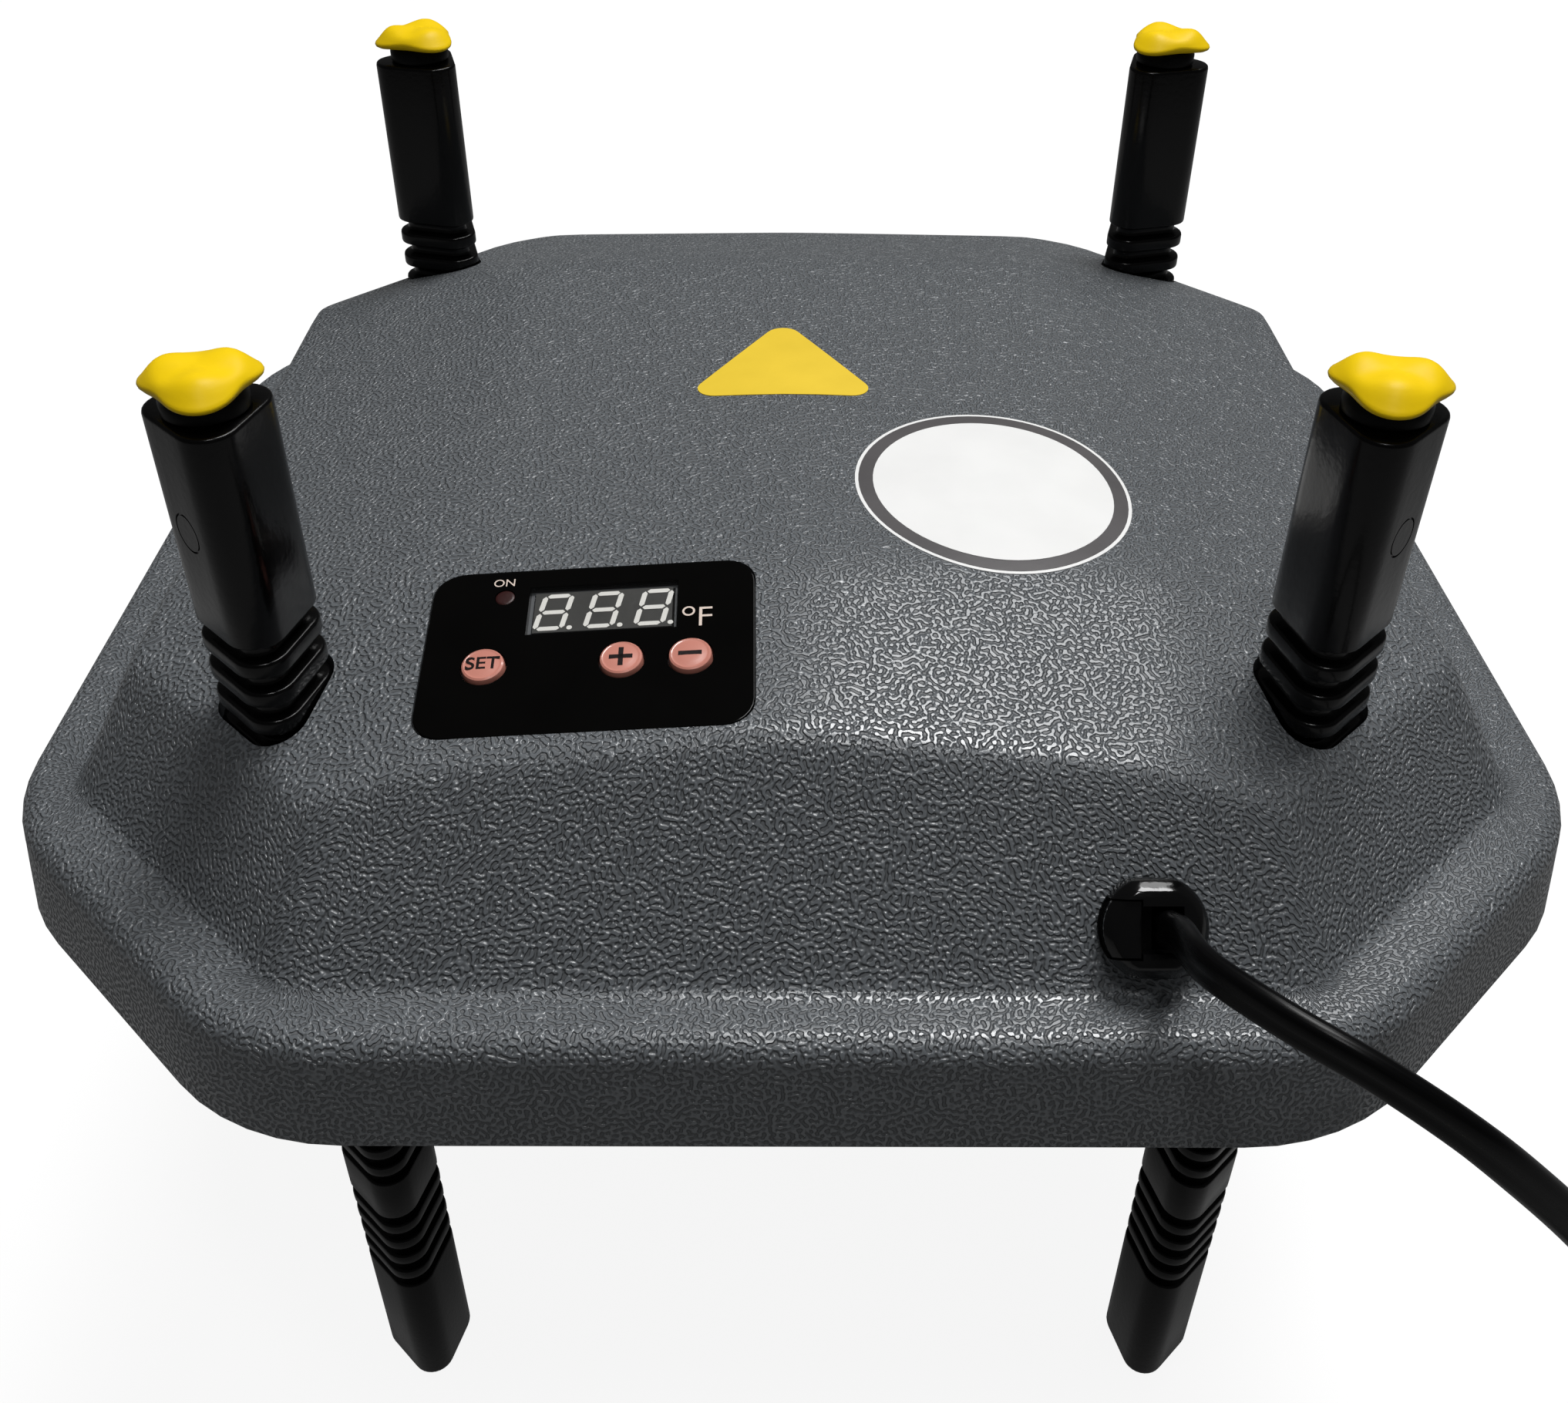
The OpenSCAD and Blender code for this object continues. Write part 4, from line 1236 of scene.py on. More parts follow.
@dataclass
class Legs:
    """Four grooved legs with necks and caps."""

    place: float = 75.7
    reach: float = 4.5
    corner: float = 4.35
    clear: float = 0.5
    hole_span: Plan = (140.0, 205.0)
    length: float = 219.0
    foot_edge: Tuple[Plan, ...] = ((1.6, 0.0), (0.7, 0.15), (0.2, 0.6), (0.0, 1.4))
    top_edge: Tuple[Plan, ...] = ((0.0, 0.6), (0.08, 0.26), (0.26, 0.08), (0.6, 0.0))
    foot: float = 32.6
    group_pitch: float = 32.9
    pitch: float = 5.0
    groups: int = 5
    grooves: int = 5
    mouth: float = 2.6
    bottom: float = 1.9
    depth: float = 1.8
    lip: float = 0.6
    soft: float = 0.2
    brink: float = 0.05
    neck: float = 5.75
    neck_height: float = 2.8
    neck_profile: Tuple[Plan, ...] = ((0.5, 0.0), (0.0, 0.4), (0.0, 1.9), (0.6, 2.8))
    cap_reach: float = 8.5
    cap_wave: float = 1.1
    cap_wave_least: float = 0.35
    cap_droop: float = 0.7
    cap_sink: float = 0.9
    cap_height: float = 3.8
    cap_profile: Tuple[Plan, ...] = (
        (0.5, 0.0), (0.82, 0.05), (0.93, 0.12), (0.985, 0.35), (1.0, 0.65), (0.985, 0.95), (0.94, 1.3), (0.87, 1.9),
        (0.79, 2.6), (0.71, 3.2), (0.63, 3.6), (0.55, 3.78), (0.46, 3.8), (0.36, 3.74), (0.25, 3.54), (0.14, 3.36),
        (0.05, 3.28))
    mark_height: float = 203.0
    mark_radius: float = 2.9
    mark_depth: float = 0.2
    mark_line: float = 0.3
    mark_out: float = 2.0
    mark_core: Plan = (-1.0, 3.0)
    crisp: float = 50.0
    cap_crisp: float = 60.0
    arc_steps: int = 10
    flat_steps: int = 4
    lip_steps: int = 4
    cap_steps: int = 72

    def at(self, corner: Corner) -> Plan:
        """Place of a leg's axis."""
        return corner.side[0] * self.place, corner.side[1] * self.place

    def section(self, corner: Corner, grow: float, z: float) -> Ring:
        """Rounded three-sided ring, one corner towards the plate's middle.

        Args:
            corner: leg that it belongs to.
            grow: how far it stands outside the leg's own section.
            z: its height.

        Returns:
            The ring.
        """
        x0, y0 = self.at(corner)
        bends = []
        for i in range(3):
            out = corner.inwards + 120.0 * i
            centre = (x0 + self.reach * math.cos(math.radians(out)), y0 + self.reach * math.sin(math.radians(out)))
            bends.append(arc(centre, self.corner + grow, out - 60.0, 120.0, self.arc_steps))
        return [(x, y, z) for x, y in closed_run(bends, (self.flat_steps,))]

    def hole(self, corner: Corner) -> Piece:
        """Tool for a leg's opening in the shell."""
        return loft("leg_hole", [self.section(corner, self.clear, z) for z in self.hole_span])

    def levels(self) -> List[Plan]:
        """List the rings of a leg.

        Returns:
            Inset and height of each ring, from the foot to the top lip.
        """
        out: List[Plan] = list(self.foot_edge)
        slope = (self.mouth - self.bottom) / 2
        depth, soft, brink = self.depth, self.soft, self.brink
        for group in range(self.groups):
            for groove in range(self.grooves):
                low = self.foot + group * self.group_pitch + groove * self.pitch
                high = low + self.mouth
                out += [(inset, low - drop) for inset, drop in round_edge(self.lip, self.lip_steps)]
                out += [(depth - soft, low + slope), (depth, low + slope + soft), (depth, high - slope - soft),
                        (depth - soft, high - slope), (soft, high - brink), (brink, high + brink),
                        (0.0, high + soft)]
        return out + [(inset, self.length - drop) for inset, drop in self.top_edge]

    def tube(self, corner: Corner) -> Piece:
        """Make a grooved leg with rounded ribs and a shallow ejector mark on its outer flat.

        Args:
            corner: leg to make.

        Returns:
            The leg.
        """
        rings = [self.section(corner, -inset, z) for inset, z in self.levels()]
        obj = loft(f"leg_{corner.tag}_grooved", rings)
        facing = Vector((*corner.side, 0.0)).normalized()
        middle = Vector((*self.at(corner), self.mark_height)) + facing * (self.reach / 2 + self.corner)
        inner = self.mark_radius - self.mark_line
        mark = cut(revolve("ejector_mark", [(self.mark_radius, z) for z in (-self.mark_depth, self.mark_out)]),
                   revolve("mark_core", [(inner, z) for z in self.mark_core]))
        turn = facing.to_track_quat("Z", "Y").to_matrix().to_4x4()
        return smooth(cut(obj, settle(mark, Matrix.Translation(middle * MM) @ turn)), self.crisp)

    def lobe(self, corner: Corner, share: float, rise: float) -> Ring:
        """Three-lobed ring of the cap, its lobes over the leg's corners and drooping a little.

        Args:
            corner: leg that carries the cap.
            share: share of the full outline.
            rise: height at the lobes, over the cap's under face.

        Returns:
            The ring.
        """
        x0, y0 = self.at(corner)
        turn = math.radians(corner.inwards)
        wave = 2 * self.cap_wave * (self.cap_wave_least + (1 - self.cap_wave_least) * share ** 3)
        droop = self.cap_droop * max(0.0, 2 * share - 1) ** 2
        # share ** 2 * (1 - share) is 4 / 27 at most
        sink = self.cap_sink * 27 / 4 * share ** 2 * (1 - share) * (rise / self.cap_height) ** 2
        out: Ring = []
        for k in range(self.cap_steps):
            a = 2 * math.pi * k / self.cap_steps
            valley = (1 - math.cos(3 * a)) / 2
            r = share * (self.cap_reach - wave * valley)
            out.append((x0 + r * math.cos(a + turn), y0 + r * math.sin(a + turn),
                        self.length + self.neck_height + rise + (droop - sink) * valley))
        return out

    def build(self) -> None:
        """Make all four legs with what sits on them."""
        for corner in Corner:
            tag, body = corner.tag, f"leg_{corner.tag}"
            dress(self.tube(corner), Palette.LEG, body, "leg", f"leg_tube_{tag}")
            profile = [(self.neck - inset, self.length + up) for inset, up in self.neck_profile]
            neck = revolve(f"neck_{tag}_round", profile, at=self.at(corner))
            dress(neck, Palette.NECK, body, "neck", f"leg_plug_{tag}")
            rings = [self.lobe(corner, share, rise) for share, rise in self.cap_profile]
            cap = smooth(loft(f"cap_{tag}_lobed", rings), self.cap_crisp)
            dress(cap, Palette.CAP, body, "cap", f"leg_cap_{tag}")


# Control panel


@dataclass
class Panel:
    """Overlay, window, digits, lamp, legends and buttons, in the pad's frame."""

    width: float = 48.5
    height: float = 32.1
    corner: float = 4.6
    low: float = -1.0
    high: float = 0.2
    edge: float = 0.15
    gap: float = 0.2
    window: Tuple[float, float, float, float] = (1.6, 7.7, 22.1, 9.4)
    window_lip: float = 0.8
    window_gap: float = 0.2
    window_depth: Plan = (8.0, -2.0)
    window_cut: float = 6.0
    pocket_high: float = 6.0
    hole_high: float = 3.0
    shell_low: float = -8.0
    plate_low: float = -3.0
    lamp: Point = (-13.3, 10.8, 1.45)
    lamp_low: float = -8.9
    lens: Tuple[Plan, ...] = ((0.0, 0.05), (0.1, 0.14), (0.4, 0.18), (1.25, 0.2))
    lamp_hole: float = 1.75
    lamp_cut: float = 1.55
    button: float = 3.15
    button_top: float = 1.0
    button_rim: Tuple[Plan, ...] = ((0.0, 0.55), (0.12, 0.28), (0.4, 0.12), (0.55, 0.16), (0.75, 0.16), (1.3, 0.04),
                                    (2.2, 0.01), (2.85, 0.0))
    button_hole: float = 3.45
    flange: float = 4.05
    flange_low: float = -3.7
    flange_high: float = -2.9
    flange_soft: float = 0.05
    digit_height: float = 7.3
    digit_pitch: float = 7.5
    digit_width: float = 3.95
    digit_shift: float = 0.1
    bar: float = 0.78
    bar_gap: Plan = (0.5, 0.6)
    bar_rise: float = 0.06
    dot: Point = (1.2, 0.4, 0.42)
    dot_steps: int = 16
    slant: float = 0.19
    face: float = -0.4
    degree: Plan = (14.5, 5.9)
    degree_radii: Plan = (0.95, 0.65)
    degree_rise: float = 0.04
    letters: Tuple[Tuple[str, float, Plan, float], ...] = (("F", 3.9, (16.9, 4.5), -0.05),
                                                           ("ON", 1.5, (-13.6, 13.7), 0.0))
    set_letters: Plan = (2.25, 0.05)
    mark_bar: Plan = (3.4, 0.72)
    mark_rise: float = 0.08
    mark_sink: float = 0.03
    crisp: float = 10.0
    pad: Pad = field(default_factory=Pad)

    def hole(self, radius: float, at: Plan, low: float) -> Piece:
        """Round tool through the panel."""
        return revolve("round_hole", [(radius, low), (radius, self.hole_high)], at=at)

    def openings(self) -> List[Piece]:
        """Make the tools for the shell.

        Returns:
            Tools for the pocket and the holes.
        """
        x, y, w, h = self.window
        lip, (deep, middle) = self.window_lip, self.window_depth
        pocket = rounded_rect(self.width + 2 * self.gap, self.height + 2 * self.gap, self.corner)
        return [slab("panel_pocket", lambda inset: pocket, self.low, self.pocket_high, 0.0, 1),
                block("window_hole", (w - lip, h - lip, deep), (x, y, middle)),
                *[self.hole(self.button_hole, key.place, self.shell_low) for key in Key],
                self.hole(self.lamp_hole, self.lamp[:2], self.shell_low)]

    def overlay(self) -> Piece:
        """Make the glossy plate with its window and holes.

        Returns:
            The plate.
        """
        obj = slab("panel_overlay_plate", lambda inset: rounded_rect(self.width - 2 * inset, self.height - 2 * inset,
                                                                     self.corner - inset),
                   self.low, self.high, self.edge)
        x, y, w, h = self.window
        cut(obj, block("window_cut", (w + self.window_gap, h + self.window_gap, self.window_cut), (x, y, 0.0)),
            *[self.hole(self.button_hole, key.place, self.plate_low) for key in Key],
            self.hole(self.lamp_cut, self.lamp[:2], self.plate_low))
        return smooth(obj, self.crisp)

    def lay(self, spots: Sequence[Plan]) -> Piece:
        """Lay a thin bright mark on the display's face.

        Args:
            spots: its outline, from the window's middle.

        Returns:
            The mark.
        """
        x0, y0 = self.window[:2]
        levels = (self.face, self.face + self.bar_rise)
        return loft("segment", [[(x0 + x, y0 + y, z) for x, y in spots] for z in levels])

    def segment(self, centre: Plan, length: float, upright: bool) -> Piece:
        """Make one pointed bar of a digit, slanted with it.

        Args:
            centre: its middle before the slant.
            length: its length.
            upright: whether it stands.

        Returns:
            The bar.
        """
        h, b = length / 2, self.bar / 2
        outline = [(-h, 0.0), (-h + b, -b), (h - b, -b), (h, 0.0), (h - b, b), (-h + b, b)]
        if upright:
            outline = [(-y, x) for x, y in outline]
        return self.lay([(centre[0] + x + (centre[1] + y) * self.slant, centre[1] + y) for x, y in outline])

    def digits(self) -> Piece:
        """Make three slanted figures of seven bars with their points.

        Returns:
            All figures as one piece.
        """
        parts: List[Piece] = []
        w, h, b = self.digit_width, self.digit_height, self.bar
        for i in (-1, 0, 1):
            x = i * self.digit_pitch + self.digit_shift
            for y in (-h / 2 + b / 2, 0.0, h / 2 - b / 2):
                parts.append(self.segment((x, y), w - self.bar_gap[0], False))
            for sx in (-1, 1):
                for sy in (-1, 1):
                    parts.append(self.segment((x + sx * w / 2, sy * (h / 4 - b / 8)), h / 2 - self.bar_gap[1], True))
            dot = (x + w / 2 + self.dot[0], -h / 2 + self.dot[1])
            spot = circle(self.dot[2], 0.0, self.dot_steps, (dot[0] + dot[1] * self.slant, dot[1]))
            parts.append(self.lay([p[:2] for p in spot]))
        return join("display_digits", parts)

    def legends(self) -> Piece:
        """Print the pale marks on the overlay.

        Returns:
            All marks as one piece.
        """
        z = self.high
        outer, inner = self.degree_radii
        ring = cut(revolve("degree_ring", [(outer, z), (outer, z + self.degree_rise)], at=self.degree),
                   revolve("degree_hole", [(inner, z - 1.0), (inner, z + 1.0)], at=self.degree))
        smooth(ring)
        marks = [lettering("mark", text, height, at, z, weight) for text, height, at, weight in self.letters]
        return join("panel_legends", [*marks, ring])

    def push_button(self, key: Key) -> Piece:
        """Make a domed button with a rim and a flange under the shell.

        Args:
            key: button to make.

        Returns:
            The button.
        """
        profile = [(self.flange, self.flange_low), (self.flange, self.flange_high),
                   (self.button, self.flange_high + self.flange_soft)]
        profile += [(self.button - inset, self.button_top - drop) for inset, drop in self.button_rim]
        return revolve(f"{key.node}_dome", profile, at=key.place)

    def button_mark(self, key: Key) -> Piece:
        """Make the dark mark on a button's face.

        Args:
            key: button that carries it.

        Returns:
            The mark.
        """
        top, (long, thin) = self.button_top, self.mark_bar
        if key is Key.SET:
            height, weight = self.set_letters
            return lettering("set_mark", key.legend, height, key.place, top - self.mark_sink, weight)
        bars = [block("bar", (long, thin, self.mark_rise), (*key.place, top))]
        if key is Key.PLUS:
            bars.append(block("bar", (thin, long, self.mark_rise), (*key.place, top)))
        return join(f"{key.name.lower()}_mark", bars)

    def build(self) -> None:
        """Make every piece of the panel and set it on the pad."""
        place = self.pad.frame()
        dress(settle(self.overlay(), place), Palette.PANEL, PLATE, "panel", "panel_overlay")
        dress(settle(self.digits(), place), Palette.SEGMENT, PLATE, "wire")
        dress(settle(self.legends(), place), Palette.LEGEND, PLATE, "wire")
        x, y, r = self.lamp
        lens = revolve("lamp_lens", [(r, self.lamp_low), *[(r - inset, z) for inset, z in self.lens]], at=(x, y))
        dress(settle(lens, place), Palette.LAMP, PLATE, "lamp", "status_lamp")
        for key in Key:
            dress(settle(self.push_button(key), place), Palette.BUTTON, key.body, "button", key.node)
            dress(settle(self.button_mark(key), place), Palette.KEY_MARK, key.body, "panel")


# Cord


@dataclass
class Cord:
    """Flat cord with its bushing, coil, tie and plug."""

    wide: float = 5.4
    thin: float = 3.0
    core_groove: float = 0.16
    core_flat: float = 0.45
    slot_shift: float = 1.6
    slot_gap: float = 0.6
    slot_length: float = 60.0
    start: float = 12.0
    head: float = 5.0
    lead: float = 11.0
    arch: Tuple[Point, ...] = ((2.7, -17.7, 10.6), (9.5, -27.7, 12.6), (19.0, -34.5, 11.0), (29.4, -38.0, 5.0),
                               (39.0, -38.8, -3.6), (48.6, -38.2, -14.0), (57.2, -35.6, -26.0), (64.4, -31.6, -39.6))
    fall: Tuple[Point, ...] = ((-53.5, -4.2, 101.0), (-48.8, -1.2, 83.0), (-44.0, 0.0, 64.0), (-40.5, 0.0, 42.0),
                               (-33.5, 0.0, 22.0), (-20.0, 0.0, 8.0))
    landing: float = -7.0
    bushing_radius: float = 7.3
    bushing_flat: float = 6.7
    bushing_face: Tuple[Plan, ...] = ((0.4, 0.0), (0.0, 0.3), (0.0, 3.3), (0.15, 3.6), (1.35, 4.8), (1.7, 5.0))
    bushing_shank: Tuple[Plan, ...] = ((5.0, -16.0), (5.7, -15.0), (5.7, 0.5))
    bushing_cuts: Tuple[Tuple[str, Point, Point], ...] = (("wedge_pocket", (7.2, 8.2, 14.0), (-5.6, 0.0, 7.6)),
                                                          ("stem_pocket", (2.6, 5.0, 14.0), (-3.6, 0.0, -0.1)),
                                                          ("cord_mouth", (5.6, 6.4, 8.0), (0.7, 0.0, 6.0)))
    clamp_face: Tuple[Plan, ...] = ((0.1, 0.7), (0.0, 0.9), (0.0, 3.4), (0.9, 4.3), (1.3, 4.5))
    clamp_gap: float = 0.3
    clamp_half: float = 3.8
    clamp_back: float = -2.15
    clamp_stem: Tuple[Point, Point, float] = ((2.4, 4.8, 8.0), (-3.6, 0.0, -3.0), 0.2)
    crisp: float = 30.0
    cord_crisp: float = 50.0
    plug_crisp: float = 40.0
    coil_at: Plan = (172.0, -169.0)
    coil_radius: float = 38.0
    turns: float = 4.25
    turn_pitch: float = 3.7
    layer_gap: float = 0.5
    layer_change: float = 0.5
    lift: float = 1.1
    tail: float = 26.0
    boot: float = 24.0
    boot_ribs: int = 9
    boot_base: Plan = (7.2, 2.6)
    boot_rib: Tuple[Point, ...] = ((0.0, 0.0, -0.05), (1.5, 0.3, 0.1), (1.7, -1.1, -0.6), (2.5, -1.1, -0.6))
    plug_length: float = 28.0
    plug_width: float = 13.0
    blade: Point = (16.0, 6.4, 1.5)
    blade_gap: float = 12.7
    blade_edge: float = 0.4
    blade_hole: Point = (1.6, 4.5, 4.0)
    strap: float = 0.8
    strap_edges: Plan = (0.35, 0.2)
    strap_over: float = 4.0
    map_scale: float = 0.1
    run_steps: int = 6
    turn_steps: int = 36
    tail_steps: int = 4
    edge_steps: int = 8
    plug_steps: int = 5
    bushing_steps: int = 40
    cord_exit: CordExit = field(default_factory=CordExit)

    def low(self) -> float:
        """Height of the coil's lower layer."""
        return self.lift + self.wide / 2

    def along_exit(self, distance: float) -> Vector:
        """Point on the cord's straight way out through its bushing."""
        return Vector(self.cord_exit.at) + Vector((self.slot_shift, 0.0, 0.0)) + distance * self.cord_exit.out()

    def route(self) -> List[Vector]:
        """List the given points from the bushing down to the coil.

        Returns:
            The points.
        """
        at = Vector(self.cord_exit.at)
        coil = Vector((self.coil_at[0], self.coil_at[1] + self.coil_radius, 0.0))
        points = [self.along_exit(distance) for distance in (-self.start, self.head, self.lead)]
        points += [at + Vector(p) for p in self.arch]
        ground = ((self.landing, 0.0, self.low()), (0.0, 0.0, self.low()))
        return points + [coil + Vector(p) for p in (*self.fall, *ground)]

    def free_path(self) -> List[Vector]:
        """Draw a smooth line through the route.

        Returns:
            Points up to the coil's first one.
        """
        route = self.route()
        last = len(route) - 1
        path = [route[0], route[0].lerp(route[1], 0.5), route[1]]
        for i in range(2, last):
            a, b, c, d = route[i - 1], route[i], route[i + 1], route[min(last, i + 2)]
            for k in range(self.run_steps):
                t = k / self.run_steps
                path.append(0.5 * (2 * b + (c - a) * t + (2 * a - 5 * b + 4 * c - d) * t * t
                                   + (3 * b - a - 3 * c + d) * t ** 3))
        return path

    def coil_path(self) -> List[Vector]:
        """Wind two flat layers of turns, in on the lower and out on the upper, and add the straight tail.

        Returns:
            Points from the first turn to the plug.
        """
        layer = self.wide + self.layer_gap
        path: List[Vector] = []
        for i in range(round(2 * self.turns * self.turn_steps) + 1):
            t = i / self.turn_steps
            radius = self.coil_radius - self.turn_pitch * (self.turns - abs(t - self.turns))
            climb = min(1.0, max(0.0, (t - self.turns) / self.layer_change + 0.5))
            a = math.radians(90.0 - 360.0 * t)
            path.append(Vector((self.coil_at[0] + radius * math.cos(a), self.coil_at[1] + radius * math.sin(a),
                                self.low() + layer * climb * climb * (3 - 2 * climb))))
        end = path[-1]
        steps = self.tail_steps
        return path + [end - Vector((self.tail * k / steps, 0.0, 0.0)) for k in range(1, steps + 1)]

    def section(self) -> List[Plan]:
        """Draw the flat section with round edges and a shallow groove between the cores.

        Returns:
            Points as thin way, wide way.
        """
        r = self.thin / 2
        core = self.wide / 2 - r
        out: List[Plan] = []
        for side in (1, -1):
            out += arc((0.0, side * core), r, 90.0 - 90.0 * side, 180.0, self.edge_steps)
            flat = side * core * self.core_flat
            out += [(-side * r, flat), (-side * (r - self.core_groove), 0.0), (-side * r, -flat)]
        return out

    def tube(self, path: Sequence[Vector]) -> Piece:
        """Sweep the section along a path, its wide side upright, with a UV map along it.

        Args:
            path: points that the cord follows.

        Returns:
            The cord.
        """
        section = self.section()
        count, last = len(section), len(path) - 1
        up = Vector((0.0, 0.0, 1.0))
        verts, lengths = [], [0.0]
        for i, here in enumerate(path):
            ahead = (path[min(last, i + 1)] - path[max(0, i - 1)]).normalized()
            wide = (up - ahead * up.dot(ahead)).normalized()
            thin = ahead.cross(wide)
            verts += [(here + thin * a + wide * b) * MM for a, b in section]
            if i:
                lengths.append(lengths[-1] + (here - path[i - 1]).length)
        faces = [(i * count + k, i * count + (k + 1) % count, (i + 1) * count + (k + 1) % count, (i + 1) * count + k)
                 for i in range(last) for k in range(count)]
        faces += [tuple(reversed(range(count))), tuple(last * count + k for k in range(count))]
        mesh = bpy.data.meshes.new("flat_cord")
        mesh.from_pydata(verts, [], faces)
        layer = mesh.uv_layers.new(name="along")
        for poly in mesh.polygons:
            for loop in poly.loop_indices:
                ring, k = divmod(mesh.loops[loop].vertex_index, count)
                layer.data[loop].uv = (lengths[ring] * self.map_scale, k / count)
        obj = bpy.data.objects.new("flat_cord", mesh)
        bpy.context.collection.objects.link(obj)
        face_outwards(obj)
        return smooth(obj, self.cord_crisp)

    def plug(self) -> Piece:
        """Make the moulded plug with a ribbed boot, lying along -X.

        Returns:
            The plug.
        """
        x0, y0, z0 = self.coil_path()[-1]
        tall, wide, length = 2 * z0, self.plug_width, self.plug_length
        rows: List[Tuple[float, float, float, float]] = []
        for i in range(self.boot_ribs):
            way = i * self.boot / self.boot_ribs
            base = self.boot_base[0] + self.boot_base[1] * i / self.boot_ribs
            rows += [(way + on, base + grow, base + grow, base / 2 + soft) for on, grow, soft in self.boot_rib]
        body = ((0.0, 9.6, 10.2, 4.2), (2.5, 10.6, 14.0, 4.4), (6.0, 11.4, 17.6, 4.4), (10.0, 12.0, tall - 0.6, 4.2),
                (15.0, wide - 0.4, tall - 0.1, 4.0), (length - 1.0, wide, tall, 4.0),
                (length - 0.3, wide - 0.5, tall - 0.5, 3.8), (length, wide - 1.6, tall - 1.6, 3.4))
        rows += [(self.boot + way, w, h, r) for way, w, h, r in body]
        rings = [[(x0 - way, y0 + a, z0 + b) for a, b in rounded_rect(w, h, r, self.plug_steps)]
                 for way, w, h, r in rows]
        return smooth(loft("plug_moulding", rings), self.plug_crisp)

    def blades(self) -> Piece:
        """Make two flat blades with a hole and softened ends.

        Returns:
            Both blades as one piece.
        """
        end = self.coil_path()[-1]
        x = end.x - self.boot - self.plug_length - self.blade[0] / 2
        radius, shift, reach = self.blade_hole
        parts = []
        for side in (-1, 1):
            z = end.z + side * self.blade_gap / 2
            hole = revolve("blade_hole", [(radius, z - reach), (radius, z + reach)], at=(x - shift, end.y))
            parts.append(cut(block("blade", self.blade, (x, end.y, z), self.blade_edge), hole))
        return join("plug_blade_pair", parts)

    def tie(self) -> Piece:
        """Make the strap round the coil.

        Returns:
            The strap.
        """
        low, high = ([c / MM for c in corner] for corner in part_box("coil_tie"))
        middle = [(a + b) / 2 for a, b in zip(low, high)]
        size = [b - a for a, b in zip(low, high)]
        inside = (size[0] - 2 * self.strap, size[1] + self.strap_over, size[2] - 2 * self.strap)
        outer, inner = self.strap_edges
        return cut(block("coil_strap", size, middle, outer), block("inside", inside, middle, inner))

    def bushing_ring(self, inset: float, z: float) -> Ring:
        """Round ring of the bushing's head with a flat above and below.

        Args:
            inset: how far it stands inside the full outline.
            z: its height out of the wall.

        Returns:
            The ring.
        """
        limit = self.bushing_flat - inset
        ring = circle(self.bushing_radius - inset, z, self.bushing_steps)
        return [(x, max(-limit, min(limit, y)), z) for x, y, _ in ring]

    def bushing(self) -> Piece:
        """Make the round strain-relief bushing with flats, a cord slot and a clamp pocket.

        Returns:
            The bushing, in its own frame.
        """
        head = loft("bushing_moulding", [self.bushing_ring(inset, z) for inset, z in self.bushing_face])
        fuse(head, revolve("bushing_shank", self.bushing_shank))
        slot = (self.thin + self.slot_gap, self.wide + self.slot_gap, self.slot_length)
        cut(head, block("cord_slot", slot, (self.slot_shift, 0.0, 0.0)),
            *[block(name, size, at) for name, size, at in self.bushing_cuts])
        return smooth(head, self.crisp)

    def clamp(self) -> Piece:
        """Make the clamp wedge of the bushing.

        Returns:
            The wedge, in the bushing's frame.
        """
        half, back, steps = self.clamp_half, self.clamp_back, self.edge_steps
        rings: List[Ring] = []
        for inset, z in self.clamp_face:
            edge = self.bushing_radius - self.clamp_gap - inset
            side = [half - 2 * half * k / steps for k in range(steps + 1)]
            rings.append([*[(-math.sqrt(edge ** 2 - y * y), y, z) for y in side], (back, -half, z), (back, half, z)])
        return smooth(fuse(loft("bushing_clamp", rings), block("clamp_stem", *self.clamp_stem)), self.crisp)

    def build(self) -> None:
        """Make the cord first, then what it ends in and passes through."""
        path = self.free_path() + self.coil_path()
        cord = dress(self.tube(path), Palette.CORD, PLATE, "cord", "supply_cord", "cord_coil")
        plug = dress(self.plug(), Palette.CORD, PLATE, "cord", "plug_body")
        blades = dress(self.blades(), Palette.BLADE, PLATE, "blade", "plug_blades")
        tie = dress(self.tie(), Palette.TIE, PLATE, "tie", "coil_tie")
        tuple(self.along_exit(self.head) * MM)
        place = self.cord_exit.frame()
        dress(settle(self.bushing(), place), Palette.BUSHING, PLATE, "bushing", "cord_bushing")
        dress(settle(self.clamp(), place), Palette.BUSHING, PLATE, "bushing", "bushing_wedge")


# Solids that stay


class Inside:
    """Solids that keep their shape and get a finish."""

    FINISHES: Dict[str, Finish] = {
        "base_plate": Palette.BASE, "base_screws": Palette.STEEL, "board_screws": Palette.STEEL,
        "heating_mat": Palette.MAT, "heat_spreader": Palette.FOIL, "insulation_pad": Palette.FELT,
        "thermal_cutout": Palette.SENSOR, "thermistor": Palette.SENSOR, "display_window": Palette.WINDOW,
        "display_module": Palette.DISPLAY, "tact_switches": Palette.COMPONENT, "control_board": Palette.BOARD,
        "relay": Palette.COMPONENT, "terminal_block": Palette.COMPONENT, "mains_capacitor": Palette.COMPONENT,
        "internal_wiring": Palette.WIRE,
    }

    def build(self) -> None:
        """Give each kept solid its finish."""
        finishes = dict(self.FINISHES)
        for corner in Corner:
            finishes[f"leg_guide_{corner.tag}"] = Palette.GUIDE
            finishes[f"leg_spring_{corner.tag}"] = Palette.STEEL
        for node, finish in finishes.items():
            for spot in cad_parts[node].material_slots:
                spot.material = finish.material()
            log.info("%s keeps its solid", node)


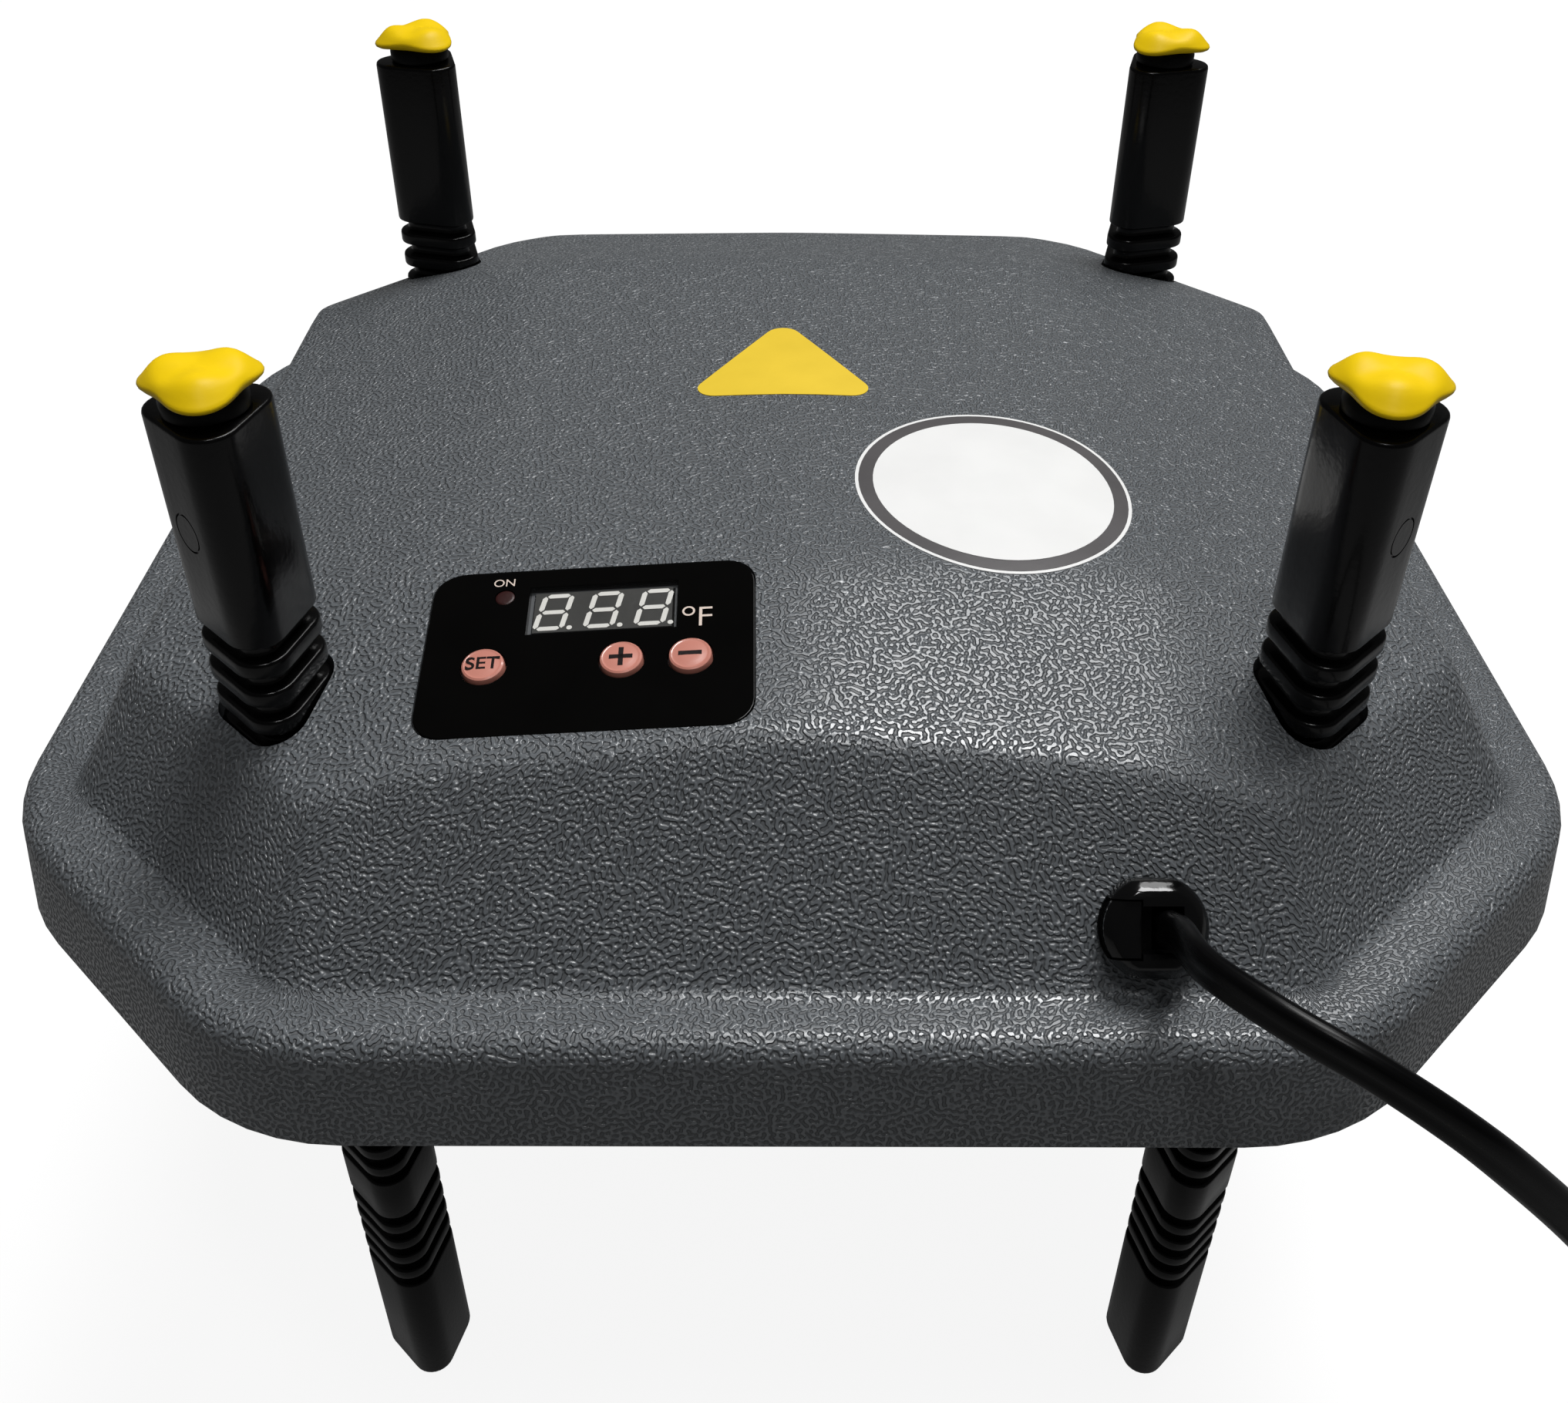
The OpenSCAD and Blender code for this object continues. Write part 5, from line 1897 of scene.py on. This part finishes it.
def main() -> None:
    """Build the studio, then the part from the cord to the small marks."""
    logging.basicConfig(level=logging.INFO, format="%(message)s")
    Studio().build()
    Cord().build()
    legs, panel = Legs(), Panel()
    Housing().build(legs, panel)
    Stickers().build()
    legs.build()
    panel.build()
    Inside().build()


if __name__ == "__main__":
    main()
